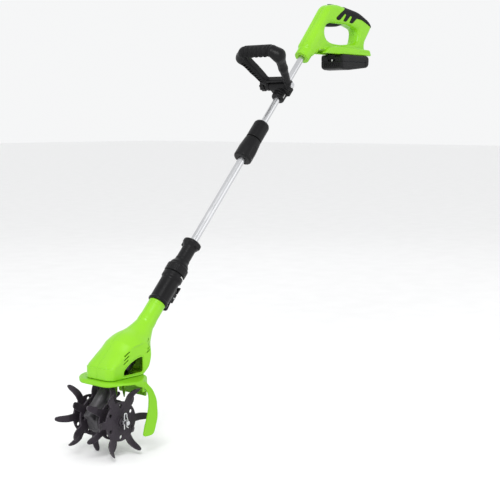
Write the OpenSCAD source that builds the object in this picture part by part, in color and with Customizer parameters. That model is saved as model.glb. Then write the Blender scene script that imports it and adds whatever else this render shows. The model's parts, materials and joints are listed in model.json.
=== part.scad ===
// Hand-held mini cultivator: four tine wheels on a worm-driven axle, a telescopic
// pole, a sliding assist handle and a rear handle with a slide-on battery.
// +Z is up, the ground is z = 0 under the lowest tine, and the pole rises towards
// +X, where the user stands. The origin is below the middle of the whole tool.

/* [Posture] */
// Angle between the pole and the ground, degrees
pole_lean = 47; // [42:1:54]
// Distance from the tine axle to the pole axis (worm centre distance)
axle_offset = 36; // [34:0.5:42]

/* [Stations along the pole] */
// Axle foot to the top of the head's neck
neck_u = 287; // [270:1:345]
// Length of the swivel coupling
coupling_len = 175; // [146:1:210]
// Bare length of the lower tube
lower_bare = 264; // [200:1:340]
// Length of the telescope lock
lock_len = 117; // [98:1:140]
// Telescope lock to the middle of the assist handle's clamp
clamp_gap = 117; // [100:1:200]
// Middle of the clamp to the mouth of the rear handle
handle_gap = 117; // [105:1:220]

/* [Tubes] */
// Outer diameter of the lower tube
lower_od = 18.6; // [16:0.1:22.4]
// Wall of both tubes
tube_wall = 0.9; // [0.8:0.05:1.1]
// Gap all round between the upper tube and the inside of the lower one
tube_gap = 0.3; // [0.2:0.05:0.4]
// Length that the tubes overlap at rest
overlap_len = 180; // [150:1:216]

/* [Tine wheels] */
// Radius of the circle that the tine tips run on
wheel_r = 80; // [66:1:82]
// Claws on each wheel
claws = 6; // [4:1:8]
// Thickness of the tine steel
tine_t = 4; // [3:0.5:5]
// Radius of the round web of each wheel
web_r = 44; // [38:1:50]
// Radius of the axle
axle_r = 6; // [5:0.5:7]
// Distance from the middle to the inner wheels' plates
inner_y = 30; // [28:1:32]
// Distance from the middle to the outer wheels' plates
outer_y = 52; // [50:1:56]
// Sideways reach of the bent tine tips on the outer wheels
tip_out = 22; // [16:1:24]
// Sideways reach of the bent tine tips on the inner wheels
tip_in = 9; // [6:1:11]

/* [Guard and head] */
// Half of the guard's width
guard_half = 85; // [83:1:102]
// Thickness of the guard
guard_t = 2.5; // [2:0.5:4]
// Lowest edge of the guard below the axle
guard_drop = 38; // [30:1:46]
// Half length of the head at its foot
head_half_x = 53; // [48:1:60]
// Half width of the head at its foot
head_half_y = 46; // [40:1:52]
// Radius of the head's shoulder
shoulder_r = 54; // [50:1:60]
// Radius of the neck
neck_r = 20; // [19:0.5:24]
// Wall of the plastic housings
wall = 2.5; // [2:0.25:3]

/* [Drive] */
// Teeth on the worm wheel, turned one tooth by each turn of the worm
wheel_teeth = 30; // [30:1:30]
// Pitch radius of the worm
worm_r = 8; // [7.5:0.25:8.5]
// Radius of the motor
motor_r = 25; // [21:0.5:27]
// Length of the motor
motor_len = 70; // [60:1:78]
// Radius of the motor and worm shaft
shaft_r = 4; // [3.5:0.25:4.5]
// Running clearance of a shaft in its bush
run_gap = 0.05; // [0.03:0.01:0.09]

/* [Rear handle] */
// Length of the rear handle behind its mouth
handle_len = 300; // [290:1:340]
// Half width of the rear handle
handle_half = 20; // [18:0.5:22]
// Half width of the battery shoe
shoe_half = 33; // [31:0.5:36]
// Length of tube held in the rear handle
socket_len = 70; // [60:1:90]

/* [Battery] */
// Length of the battery
battery_len = 128; // [112:1:136]
// Half width of the battery
battery_half = 36; // [34.5:0.5:40]
// Height of the battery's case
battery_h = 41; // [38:1:48]
// Diameter of one cell
cell_d = 18.4; // [18:0.1:19]

/* [Assist handle] */
// Distance from the pole axis to the pivot bolt
pivot_x = 18; // [18:0.5:22]
// Distance from the pivot bolt to the middle of the bar
loop_reach = 120; // [100:1:140]
// Half width of the loop, outside
loop_half = 74; // [64:1:84]
// Half thickness of the loop's bar
bar_r = 13; // [11:0.5:15]
// Length of the clamp along the pole
clamp_len = 62; // [52:1:74]

/* [Hidden] */
$fn = 48;

green = [0.45, 0.85, 0.12];
black = [0.10, 0.10, 0.11];
metal = [0.80, 0.81, 0.83];
steel = [0.28, 0.27, 0.30];
eps = 0.01;
big = 400;
// Gap between faces that move past each other
gap = 0.5;

// Stations along the pole, from the foot of the perpendicular through the axle
coupling_u = neck_u + coupling_len;
lock_u = coupling_u + lower_bare;
lock_top_u = lock_u + lock_len;
clamp_u = lock_top_u + clamp_gap;
handle_u = clamp_u + handle_gap;

// Places in the tool's own frame
function off_axle(u) = [u * cos(pole_lean) - axle_offset * sin(pole_lean), 0,
    u * sin(pole_lean) + axle_offset * cos(pole_lean)];
reach_x = off_axle(handle_u)[0] + handle_len;
axle_at = [(wheel_r - reach_x) / 2, 0, wheel_r];
handle_at = axle_at + off_axle(handle_u);

lower_r = lower_od / 2;
bore_r = lower_r - tube_wall;
upper_r = bore_r - tube_gap;
upper_in = upper_r - tube_wall;

guard_z = wheel_r + 8;
guard_x = wheel_r + 12;
skirt_drop = 24;
foot_u = (guard_z - axle_offset * cos(pole_lean)) / sin(pole_lean);
foot_x = off_axle(foot_u)[0];
shoulder_u = foot_u + 58;
motor_u = foot_u + 19;

module at_axle() {
    translate(axle_at) children();
}
module at_handle() {
    translate(handle_at) children();
}
module at_pole(u) {
    translate(axle_at + off_axle(u)) rotate([0, 90 - pole_lean, 0]) children();
}
// Cylinder along Y from y0 to y1
module rod_y(r, y0, y1) {
    translate([0, y0, 0]) rotate([-90, 0, 0]) cylinder(r = r, h = y1 - y0);
}
// Cylinder along X from x0 to x1
module rod_x(r, x0, x1) {
    translate([x0, 0, 0]) rotate([0, 90, 0]) cylinder(r = r, h = x1 - x0);
}
// Box between two corners
module box(a, b) {
    translate(a) cube(b - a);
}
// Plate from y0 to y1, whose outline lies in X and Z
module slab(y0, y1) {
    translate([0, y1, 0]) rotate([90, 0, 0]) linear_extrude(y1 - y0) children();
}
module pipe(r_out, r_in, z0, z1) {
    difference() {
        translate([0, 0, z0]) cylinder(r = r_out, h = z1 - z0);
        translate([0, 0, z0 - 1]) cylinder(r = r_in, h = z1 - z0 + 2);
    }
}
// Keeps the part of its children on one side of the middle plane, -1 left or 1 right
module half(side) {
    intersection() {
        children();
        translate([-2 * big, side > 0 ? 0 : -2 * big, -2 * big]) cube([4 * big, 2 * big, 4 * big]);
    }
}
function unit(v) = v / norm(v);
function inward(p, i) = let (n = len(p), d = unit(p[(i + 1) % n] - p[i])) [-d[1], d[0]];
// Outline moved in by d on every side
function inset(p, d) = let (n = len(p)) [for (i = [0:n - 1])
    let (a = inward(p, (i + n - 1) % n), b = inward(p, i)) p[i] + d * (a + b) / (1 + a * b)];
// Outline with every corner rounded off over the length r, or less on a short side
function rounded(p, r) = let (n = len(p)) [for (i = [0:n - 1], t = [0:0.25:1])
    let (u = p[(i + n - 1) % n] - p[i], v = p[(i + 1) % n] - p[i],
        a = p[i] + min(r, 0.45 * norm(u)) * unit(u), b = p[i] + min(r, 0.45 * norm(v)) * unit(v))
    (1 - t) * (1 - t) * a + 2 * t * (1 - t) * p[i] + t * t * b];
// Pan-head screw pointing along -Z, its head's underside at z = 0
module screw(r, len) {
    difference() {
        union() {
            cylinder(r = 2 * r, h = r);
            translate([0, 0, -len]) cylinder(r = r, h = len + eps);
        }
        translate([0, 0, r * 0.4]) cylinder(r = r * 0.9, h = r, $fn = 6);
    }
}
// Spring along Z, as the sleeve that its coil fills
module spring(r, wire, h) {
    pipe(r, r - wire, 0, h);
}

// ---------------------------------------------------------------- rear handle
strut_r = neck_r;
strut_n = [-sin(pole_lean), cos(pole_lean)];
strut_p = [cos(pole_lean), sin(pole_lean)];
shoe_z = 15;
tail_x = handle_len;
outline = [-strut_r * strut_n, [strut_r * strut_n[0] * -1 + (shoe_z + strut_r * strut_n[1]) *
    strut_p[0] / strut_p[1], shoe_z], [tail_x - 25, shoe_z], [tail_x - 40, 45], [tail_x, 96],
    [tail_x - 14, 112], [tail_x - 62, 132], [136, 147], [97, 143], strut_r * strut_n];
opening = [[86, 52], [112, 43], [158, 41], [tail_x - 73, 47], [tail_x - 65, 84],
    [tail_x - 112, 96], [104, 96], [84, 88], [77, 70]];
shoe_x0 = 60;
shoe = [[shoe_x0, shoe_z], [tail_x - 25, shoe_z], [tail_x - 32, 31], [120, 35], [80, 30]];
chan_end = tail_x - 58;
chan_half = 24;
lip_half = 20;
chan_z = shoe_z + 9;
lip_z = shoe_z + 4;
trig_x0 = 92;
trig_x1 = 176;
trig_z = 95;
trig_half = 6;
pin_r = 2;
pin_at = [trig_x1 - 6, trig_z + 7];
button_x = 126;
button_z = 146;
button_travel = 3.5;
switch_x = 112;
// The first screw also passes through the tube
pole_screw = 46;
screw_spots = [pole_screw * strut_p, [84, 113], [218, 114], [252, 62], [104, 30]];

module handle_body() {
    difference() {
        union() {
            slab(-handle_half, handle_half) polygon(rounded(outline, 6));
            slab(-shoe_half, shoe_half) polygon(rounded(shoe, 3));
        }
        slab(-handle_half - 1, handle_half + 1) polygon(rounded(opening, 5));
        difference() {
            union() {
                slab(wall - handle_half, handle_half - wall) polygon(rounded(inset(outline, wall), 5));
                slab(wall - shoe_half, shoe_half - wall) polygon(inset(shoe, wall));
            }
            slab(-handle_half, handle_half) polygon(rounded(inset(opening, -wall), 6));
            // solid socket round the tube
            rotate([0, 90 - pole_lean, 0]) cylinder(r = strut_r, h = socket_len + wall);
            // roof and walls of the battery channel
            box([shoe_x0 + wall, -chan_half - wall, shoe_z], [chan_end + 8, chan_half + wall, chan_z + wall]);
            for (s = screw_spots) translate([s[0], 0, s[1]]) rod_y(4, -handle_half, handle_half);
            translate([pin_at[0], 0, pin_at[1]]) rod_y(5, trig_half + gap, handle_half);
            translate([pin_at[0], 0, pin_at[1]]) rod_y(5, -handle_half, -trig_half - gap);
        }
        rotate([0, 90 - pole_lean, 0]) translate([0, 0, -1]) cylinder(r = upper_r, h = socket_len + 1);
        rotate([0, 90 - pole_lean, 0]) cylinder(r = upper_in, h = socket_len + 20);
        // channel that the battery's shoe slides in, and its lips
        box([shoe_x0 - 1, -lip_half, shoe_z - 1], [chan_end, lip_half, chan_z]);
        box([shoe_x0 - 1, -chan_half, lip_z], [chan_end, chan_half, chan_z]);
        // seat of the terminal block
        box([chan_end - eps, -14, shoe_z + 2], [chan_end + 6, 14, chan_z + 10]);
        // slots for the trigger and the lock-off button
        box([trig_x0 - gap, -trig_half - gap, trig_z - 12], [trig_x1 + gap, trig_half + gap, trig_z + 14]);
        translate([pin_at[0], 0, pin_at[1]]) rod_y(pin_r, -handle_half + wall, handle_half - wall);
        box([button_x - 10 - gap, -5 - gap, 130], [button_x + 10 + gap, 5 + gap, 160]);
        for (s = screw_spots) translate([s[0], 0, s[1]]) {
            rod_y(1.6, -handle_half + 2, handle_half + 1);
            rod_y(3.4, handle_half - 3, handle_half + 1);
        }
    }
}
module handle_left() {
    color(green) at_handle() half(-1) handle_body();
}
module handle_right() {
    color(green) at_handle() half(1) handle_body();
}
module handle_grip() {
    run = [[150, 145], [tail_x - 62, 132], [tail_x - 14, 112], [tail_x - 3, 100]];
    pad = concat([for (i = [0:3]) run[i] + [0, 0.4]],
        [[tail_x, 101.5], [tail_x - 12, 115.5], [tail_x - 61, 135.5], [151, 148.5]]);
    color(black) at_handle() slab(-handle_half + 3, handle_half - 3) polygon(pad);
}
module trigger() {
    color(black) at_handle() difference() {
        slab(-trig_half, trig_half) polygon(rounded([[trig_x0, trig_z - 4], [trig_x0 + 20, trig_z - 7],
            [trig_x1 - 30, trig_z - 5], [trig_x1, trig_z + 1], [trig_x1, trig_z + 12],
            [trig_x1 - 12, trig_z + 12], [trig_x1 - 20, trig_z + 4], [trig_x0, trig_z + 4]], 1.5));
        translate([pin_at[0], 0, pin_at[1]]) rod_y(pin_r + run_gap, -big, big);
    }
}
module trigger_pin() {
    color(metal) at_handle() translate([pin_at[0], 0, pin_at[1]]) rod_y(pin_r, wall - handle_half, handle_half - wall);
}
module trigger_spring() {
    color(metal) at_handle() translate([trig_x1 - 32, 0, trig_z + 4]) spring(3, 0.8, 10);
}
module lock_button() {
    color(black) at_handle() difference() {
        box([button_x - 10, -5, button_z - 7], [button_x + 10, 5, button_z + 4]);
        for (x = [-6:4:6]) translate([button_x + x - 0.6, -6, button_z + 3.2]) cube([1.2, 12, 2]);
    }
}
module lock_spring() {
    color(metal) at_handle() translate([button_x, 0, button_z - 18]) spring(3, 0.8, 11);
}
module power_switch() {
    color(black) at_handle() difference() {
        box([switch_x, -9, trig_z + 15], [switch_x + 32, 9, button_z - 18]);
        for (s = [-1, 1]) translate([switch_x + 24 + s * 4, -10, trig_z + 20]) rod_y(1.2, 0, 20);
    }
}
module terminal_block() {
    color(black) at_handle() {
        box([chan_end, -14, shoe_z + 2], [chan_end + 6, 14, chan_z + 10]);
        for (s = [-1, 1]) box([chan_end - 12, s * 9 - 0.5, shoe_z + 3], [chan_end + eps, s * 9 + 0.5, chan_z - 2]);
    }
}
module handle_screws() {
    color(metal) at_handle() for (s = screw_spots) translate([s[0], handle_half - 3, s[1]])
        rotate([-90, 0, 0]) screw(1.6, 2 * handle_half - 6);
}
module upper_tube() {
    color(metal) difference() {
        at_pole(lock_u - overlap_len + lock_in)
            pipe(upper_r, upper_in, 0, handle_u + socket_len - lock_u + overlap_len - lock_in);
        at_pole(handle_u + pole_screw) rod_y(1.6, -big, big);
    }
}
module tube_bush() {
    color(black) at_pole(lock_u - overlap_len + lock_in) difference() {
        union() {
            translate([0, 0, -8]) cylinder(r = bore_r - run_gap, h = 8);
            cylinder(r = upper_in, h = 14);
        }
        translate([0, 0, -9]) cylinder(r = upper_in - 2, h = 24);
    }
}

// -------------------------------------------------------------------- battery
batt_x1 = tail_x - 40;
batt_x0 = batt_x1 - battery_len;
batt_top = shoe_z - gap;
batt_low = batt_top - battery_h;
batt_split = batt_low + 0.55 * battery_h;
cell_z = batt_low + 9.5 + cell_d / 2;
cells = 5;
cell_len = 65;
cell_x0 = (batt_x0 + batt_x1) / 2 - (cells - 1) / 2 * (cell_d + 0.4);
latch_travel = 4;

module battery_shape() {
    slab(-battery_half, battery_half) polygon(rounded([[batt_x0, batt_low + 6], [batt_x0 + 9, batt_low + 1],
        [batt_x0 + 35, batt_low], [batt_x1 - 8, batt_low + 9], [batt_x1, batt_low + 17],
        [batt_x1, batt_top - 5], [batt_x1 - 7, batt_top], [batt_x0 + 4, batt_top], [batt_x0, batt_top - 4]], 3));
}
module cell_bay() {
    box([cell_x0 - cell_d / 2 - 1, -cell_len / 2 - 0.5, cell_z - cell_d / 2],
        [cell_x0 + (cells - 0.5) * (cell_d + 0.4) + 1, cell_len / 2 + 0.5, cell_z + cell_d / 2 + 4]);
}
module battery_base() {
    color(black) at_handle() difference() {
        battery_shape();
        box([-big, -big, batt_split], [big, big, big]);
        cell_bay();
    }
}
module battery_cover() {
    color(black) at_handle() difference() {
        union() {
            intersection() {
                battery_shape();
                box([-big, -big, batt_split], [big, big, big]);
            }
            // shoe that rides in the handle's channel
            box([batt_x0 + 12, -lip_half + gap, batt_top - 1], [chan_end - gap, lip_half - gap, chan_z - gap]);
            box([batt_x0 + 12, -chan_half + gap, lip_z + gap], [chan_end - gap, chan_half - gap, chan_z - gap]);
        }
        cell_bay();
        for (s = [-1, 1]) box([chan_end - 13, s * 9 - 1, shoe_z + 2], [chan_end, s * 9 + 1, chan_z]);
        // well of the latch
        box([batt_x0 - 1, -12 - gap, batt_split + 1], [batt_x0 + 8, 12 + gap, batt_top + 1]);
    }
}
module battery_cells() {
    color("steelblue") at_handle() for (i = [0:cells - 1])
        translate([cell_x0 + i * (cell_d + 0.4), 0, cell_z]) rod_y(cell_d / 2, -cell_len / 2, cell_len / 2);
}
module battery_latch() {
    color(black) at_handle() difference() {
        box([batt_x0 + 0.5, -12, batt_split + 1 + latch_travel + gap], [batt_x0 + 7.5, 12, batt_top - 0.3]);
        for (z = [0:3:6]) translate([batt_x0, -13, batt_split + 8 + z]) cube([1.2, 26, 1.2]);
    }
}
module latch_spring() {
    color(metal) at_handle() translate([batt_x0 + 4, 0, batt_split + 1]) spring(2.4, 0.7, latch_travel + gap);
}

// -------------------------------------------------------------- assist handle
bolt_r = 4;
knuckle_r = 13;
knuckle_half = 25;
ear_t = 12;
ear_y = knuckle_half + gap;
clamp_r = upper_r + 9;
bar_x = -pivot_x - loop_reach;
// Half height of the bar, along the pole
oval = bar_r + 5;
web_x = -pivot_x - knuckle_r - 5;

module at_pivot() {
    at_pole(clamp_u) translate([-pivot_x, 0, 0]) children();
}
module clamp_body() {
    difference() {
        union() {
            translate([0, 0, -clamp_len / 2]) cylinder(r = clamp_r, h = clamp_len);
            translate([-pivot_x, 0, 0]) rod_y(knuckle_r, -knuckle_half, knuckle_half);
            box([-pivot_x, -knuckle_half, -knuckle_r], [clamp_r - 6, knuckle_half, knuckle_r]);
        }
        translate([0, 0, -big / 2]) cylinder(r = upper_r + 0.3, h = big);
        translate([-pivot_x, 0, 0]) rod_y(bolt_r + run_gap, -big, big);
        for (s = [-1, 1], z = [-7, 7]) translate([0, s * 20, z]) {
            rod_x(1.6, -8, big);
            rod_x(3.4, clamp_r - 9, big);
        }
    }
}
module clamp_front() {
    color(black) at_pole(clamp_u) intersection() {
        clamp_body();
        box([-big, -big, -big], [-0.4, big, big]);
    }
}
module clamp_rear() {
    color(black) at_pole(clamp_u) intersection() {
        clamp_body();
        box([0.4, -big, -big], [big, big, big]);
    }
}
module clamp_screws() {
    color(metal) at_pole(clamp_u) for (s = [-1, 1], z = [-7, 7]) translate([clamp_r - 9, s * 20, z])
        rotate([0, 90, 0]) screw(1.6, clamp_r - 1.4);
}
module pivot_bolt() {
    color(metal) at_pivot() {
        rod_y(bolt_r, -ear_y - ear_t - 1, ear_y + ear_t + 14);
        translate([0, -ear_y - ear_t - 6, 0]) rotate([-90, 0, 0]) cylinder(r = 7.5, h = 5, $fn = 6);
    }
}
// Loop: two ears, two legs that spread, a web below the opening and the core of the bar
module assist_loop() {
    leg_top = loop_half - bar_r - 4;
    color(black) at_pivot() difference() {
        union() {
            for (s = [-1, 1]) {
                rod_y(knuckle_r, s > 0 ? ear_y : -ear_y - ear_t, s > 0 ? ear_y + ear_t : -ear_y);
                hull() {
                    translate([-18, s * (ear_y + 7), 0]) sphere(r = 7, $fn = 24);
                    translate([-8, s * (ear_y + 6), 0]) sphere(r = 6, $fn = 24);
                    translate([bar_x + pivot_x + 4, s * leg_top, 0]) sphere(r = bar_r - 1, $fn = 24);
                }
            }
            box([web_x + pivot_x - 7, -ear_y - 3, -9], [web_x + pivot_x, ear_y + 3, 9]);
            translate([bar_x + pivot_x, 0, 0]) rod_y(9, -leg_top, leg_top);
        }
        rod_y(bolt_r + run_gap, -big, big);
    }
}
module assist_grip() {
    grip_half = loop_half - bar_r - 19;
    color(black) at_pivot() translate([bar_x + pivot_x, 0, 0]) difference() {
        slab(-grip_half, grip_half) polygon(rounded([[-bar_r, -oval], [bar_r, -oval], [bar_r, oval],
            [-bar_r, oval]], 0.9 * bar_r));
        rod_y(9, -big, big);
    }
}
module clamp_knob() {
    color(black) at_pivot() difference() {
        union() {
            rod_y(9, ear_y + ear_t + gap, ear_y + ear_t + 5);
            rod_y(14, ear_y + ear_t + 4, ear_y + ear_t + 19);
        }
        rod_y(bolt_r + run_gap, 0, ear_y + ear_t + 15);
        for (a = [0:45:315]) rotate([0, a, 0]) translate([15, 0, 0]) rod_y(2.6, ear_y + ear_t + 3, big);
    }
}

// ------------------------------------------------------------------ telescope
lock_r = 23.5;
collar_r = 20.5;
stub_r = 16;
lock_in = 64;
collet_r = upper_r + 3;

module lower_tube() {
    color(metal) at_pole(coupling_u - 60) pipe(lower_r, bore_r, 0, lock_u + lock_in - coupling_u + 60);
}
module lock_body() {
    color(black) at_pole(lock_u) difference() {
        union() {
            cylinder(r = lock_r, h = lock_in - 6);
            translate([0, 0, lock_in - 6 - eps]) cylinder(r1 = lock_r, r2 = collar_r, h = 6);
            cylinder(r = stub_r, h = lock_in + 28);
        }
        translate([0, 0, -1]) cylinder(r = lower_r, h = lock_in + 1);
        translate([0, 0, lock_in - eps]) cylinder(r = collet_r, h = 40);
        box([lower_r + 2, -1.2, -1], [lock_r + 1, 1.2, 26]);
    }
}
module lock_collet() {
    color(metal) at_pole(lock_u + lock_in) difference() {
        pipe(collet_r, upper_r + run_gap, 0, 28);
        for (a = [0:90:270]) rotate([0, 0, a]) box([upper_r - 1, -0.6, 6], [collet_r + 1, 0.6, 30]);
    }
}
module lock_collar() {
    color(black) at_pole(lock_u + lock_in) difference() {
        translate([0, 0, gap]) cylinder(r = collar_r, h = lock_len - lock_in - gap);
        cylinder(r = stub_r + 0.3, h = 28 + gap);
        cylinder(r = upper_r + 0.5, h = big);
        for (a = [0:30:330]) rotate([0, 0, a]) translate([collar_r + 0.6, 0, 8]) cylinder(r = 1.6, h = lock_len - lock_in - 16);
    }
}
module tube_cable() {
    color(black) at_pole(coupling_u - 60) translate([bore_r - 3, 0, 0]) cylinder(r = 3, h = 128);
}

// ----------------------------------------------------------- swivel coupling
couple_r = 25;
sleeve_r = 15;
ring_r = 17.5;
split_u = neck_u + 0.46 * coupling_len;
sleeve_len = 44;
spigot_len = 44;
spigot_r = neck_r - wall - 1.5;
lever_x = couple_r + 3;

module coupling_upper() {
    color(black) at_pole(split_u) difference() {
        union() {
            top = coupling_u - split_u;
            translate([0, 0, gap]) cylinder(r = couple_r + 1.5, h = 22 - gap);
            translate([0, 0, 22 - eps]) cylinder(r1 = couple_r, r2 = 17, h = 30);
            cylinder(r = 16.5, h = top);
            translate([0, 0, top - 18]) cylinder(r1 = 16.5, r2 = 19.5, h = 10);
            translate([0, 0, top - 8 - eps]) cylinder(r = 19.5, h = 8);
            translate([0, 0, -sleeve_len]) cylinder(r = sleeve_r, h = sleeve_len + 1);
            for (s = [-1, 1]) box([-7, s * 17 - 4, top - 26], [7, s * 17 + 4, top - 4]);
        }
        translate([0, 0, coupling_u - 60 - split_u]) cylinder(r = lower_r, h = 100);
        translate([0, 0, -sleeve_len - 1]) cylinder(r = bore_r, h = big);
        // groove of the retaining clip
        difference() {
            translate([0, 0, -sleeve_len + 4]) cylinder(r = sleeve_r + 5, h = 3);
            translate([0, 0, -sleeve_len + 3]) cylinder(r = sleeve_r - 2, h = 5);
        }
    }
}
module swivel_clip() {
    color(metal) at_pole(split_u - sleeve_len + 4) difference() {
        pipe(ring_r, sleeve_r - 2, 0, 3);
        box([0, -3, -1], [big, 3, 4]);
    }
}
module coupling_lower() {
    color(black) at_pole(neck_u) difference() {
        union() {
            len = split_u - neck_u;
            cylinder(r = couple_r - 2, h = len - 14);
            translate([0, 0, len - 14 - eps]) cylinder(r = couple_r + 0.5, h = 14);
            translate([0, 0, -spigot_len]) cylinder(r = spigot_r, h = spigot_len + 1);
            // cheeks that carry the lever
            for (s = [-1, 1]) box([couple_r - 8, s * 8 - 2, 22], [lever_x + 5, s * 8 + 2, 46]);
        }
        translate([0, 0, split_u - neck_u - sleeve_len - 4]) cylinder(r = sleeve_r + 0.3, h = big);
        translate([0, 0, split_u - neck_u - sleeve_len + 4 - 0.5]) cylinder(r = ring_r + 0.6, h = 4);
        translate([0, 0, -spigot_len - 1]) cylinder(r = 8, h = big);
        translate([lever_x, 0, 34]) rod_y(2, -big, big);
        // pocket of the lever's spring
        translate([couple_r - 6, 0, 52]) rotate([0, 90, 0]) cylinder(r = 3.4, h = 20);
    }
}
module coupling_lever() {
    color(black) at_pole(neck_u) difference() {
        union() {
            slab(-5.5, 5.5) polygon(rounded([[couple_r + 0.8, 2], [couple_r + 5, -2], [couple_r + 9, 4],
                [couple_r + 6.5, 20], [couple_r + 7, 34], [couple_r + 8.5, 62], [couple_r + 5, 66],
                [couple_r + 3.5, 48], [couple_r - 1, 40], [couple_r - 1, 28], [couple_r + 2.6, 16]], 1.5));
            slab(-9, 9) polygon(rounded([[couple_r + 3.6, 50], [couple_r + 8.2, 50], [couple_r + 8.9, 66],
                [couple_r + 4.8, 66]], 1));
        }
        translate([lever_x, 0, 34]) rod_y(2 + run_gap, -big, big);
    }
}
module lever_pin() {
    color(metal) at_pole(neck_u) translate([lever_x, 0, 34]) rod_y(2, -11, 11);
}
module lever_spring() {
    color(metal) at_pole(neck_u) translate([couple_r - 6, 0, 52]) rotate([0, 90, 0]) spring(3, 0.8, 6.7);
}

// ----------------------------------------------------------------------- head
corner_r = 22;
rib_us = [motor_u + 8, motor_u + motor_len - 12];
gear_case_r = 36;
gear_half = 17;
head_screw_spots = [[foot_x - 34, guard_z + 10], [foot_x + 46, guard_z + 8],
    [off_axle(neck_u - 66)[0], off_axle(neck_u - 66)[2] + 15]];

// Solid shape of the head, d inside its outer face
module head_solid(d) {
    hull() {
        for (sx = [-1, 1], sy = [-1, 1])
            translate([foot_x + sx * (head_half_x - corner_r), sy * (head_half_y - corner_r), guard_z])
                cylinder(r = corner_r - d, h = 26, $fn = 32);
        translate(off_axle(shoulder_u)) sphere(r = shoulder_r - d, $fn = 32);
    }
    hull() {
        translate(off_axle(shoulder_u)) sphere(r = shoulder_r - d, $fn = 32);
        translate(off_axle(neck_u - 52)) rotate([0, 90 - pole_lean, 0])
            cylinder(r = neck_r - 0.5 - d, h = 4, $fn = 32);
    }
}
module head_body() {
    difference() {
        union() {
            head_solid(0);
            translate(off_axle(neck_u - 52)) rotate([0, 90 - pole_lean, 0]) cylinder(r = neck_r, h = 52);
        }
        // hollow, with two ribs left round the motor
        difference() {
            head_solid(wall);
            box([-big, -big, -big], [big, big, guard_z + wall]);
            for (u = rib_us) translate(off_axle(u)) rotate([0, 90 - pole_lean, 0])
                cylinder(r = big / 2, h = 3);
            for (s = head_screw_spots) translate([s[0], 0, s[1]]) rod_y(4, -big, big);
        }
        translate(off_axle(motor_u)) rotate([0, 90 - pole_lean, 0]) cylinder(r = motor_r, h = motor_len);
        // neck socket for the coupling's spigot and the way for the leads
        translate(off_axle(neck_u - spigot_len)) rotate([0, 90 - pole_lean, 0]) cylinder(r = spigot_r, h = big);
        translate(off_axle(neck_u - 80)) rotate([0, 90 - pole_lean, 0]) cylinder(r = 8, h = big);
        // flat foot, with a hole for the gearbox and the guard's screw holes
        box([-big, -big, -big], [big, big, guard_z]);
        box([foot_x - 30, -28, guard_z - 1], [foot_x + 42, 28, guard_z + 12]);
        for (x = guard_screw_xs, s = [-1, 1]) translate([x, s * 36, 0]) cylinder(r = 2, h = guard_z + wall + 1);
        // side windows beside the motor
        for (s = [-1, 1]) box([foot_x - 14, s * 40 - 16, guard_z + 7], [foot_x + 42, s * 40 + 16, guard_z + 36]);
        // cooling slots
        for (s = [-1, 1], i = [0:2]) translate([foot_x - 6 + 5 * i, s * 50, guard_z + 46 + 6 * i])
            rotate([0, -30, 0]) box([-8, -14, -1], [8, 14, 1]);
        for (s = head_screw_spots) translate([s[0], 0, s[1]]) rod_y(1.6, -20, big);
        for (s = head_screw_spots) translate([s[0], 0, s[1]]) rod_y(3.4, 8, big);
    }
}
module head_left() {
    color(green) at_axle() half(-1) head_body();
}
module head_right() {
    color(green) at_axle() half(1) head_body();
}
module head_screws() {
    color(metal) at_axle() for (s = head_screw_spots) translate([s[0], 8, s[1]]) rotate([-90, 0, 0]) screw(1.6, 20);
}
module motor_case() {
    color(steel) at_pole(motor_u) difference() {
        cylinder(r = motor_r, h = motor_len);
        translate([0, 0, 2]) cylinder(r = motor_r - 2, h = motor_len - 4);
        translate([0, 0, -1]) cylinder(r = shaft_r + 1, h = motor_len + 2);
        for (a = [0:60:300]) rotate([0, 0, a]) translate([motor_r - 8, 0, -1]) cylinder(r = 2.6, h = motor_len + 2);
    }
}
module motor_magnets() {
    color(black) at_pole(motor_u) difference() {
        pipe(motor_r - 2, motor_r - 6, 16, motor_len - 14);
        for (a = [0, 180]) rotate([0, 0, a]) box([-7, 0, 0], [7, big, big]);
    }
}
module motor_rotor() {
    color(metal) at_pole(0) {
        translate([0, 0, -24]) cylinder(r = shaft_r, h = motor_u + motor_len + 26);
        translate([0, 0, motor_u + 20]) difference() {
            cylinder(r = motor_r - 7, h = motor_len - 38);
            for (a = [0:60:300]) rotate([0, 0, a]) translate([motor_r - 8, 0, -1]) cylinder(r = 2, h = motor_len);
        }
        translate([0, 0, motor_u + motor_len - 14]) cylinder(r = 8, h = 9);
    }
}
module motor_fan() {
    color(black) at_pole(motor_u + 6) {
        pipe(7, shaft_r, 0, 8);
        for (a = [0:45:315]) rotate([0, 0, a]) box([6.5, -0.8, 0], [motor_r - 4, 0.8, 7]);
    }
}
gear_pitch_r = axle_offset - worm_r;
lead = 2 * PI * gear_pitch_r / wheel_teeth;
worm_turns = 4;
thread_h = 1.5;
// Radius of the worm's thread at an angle round it: flat top, sloping flanks, flat root
function thread_r(a) = let (z = lead * abs(((a + 180) % 360) - 180) / 360)
    worm_r + (z < 0.7 ? thread_h : z > 1.5 ? -thread_h : thread_h * (1 - (z - 0.7) / 0.4));
module worm() {
    color(metal) at_pole(-worm_turns / 2 * lead) difference() {
        linear_extrude(worm_turns * lead, twist = -360 * worm_turns, slices = 18 * worm_turns)
            polygon([for (i = [0:35]) let (a = i * 10) thread_r(a) * [cos(a), sin(a)]]);
        translate([0, 0, -1]) cylinder(r = shaft_r, h = worm_turns * lead + 2);
    }
}
module worm_wheel() {
    step = 360 / wheel_teeth;
    top = gear_pitch_r + 1.4;
    root = gear_pitch_r - 1.8;
    color("goldenrod") at_pole(0) translate([axle_offset, 0, 0]) difference() {
        slab(-4, 4) polygon([for (i = [0:wheel_teeth - 1], k = [[root, 0.25], [top, 0.38], [top, 0.62], [root, 0.75]])
            k[0] * [cos(step * (i + k[1])), sin(step * (i + k[1]))]]);
        rod_y(axle_r, -big, big);
    }
}
bush_us = [-23, 32];
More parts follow.
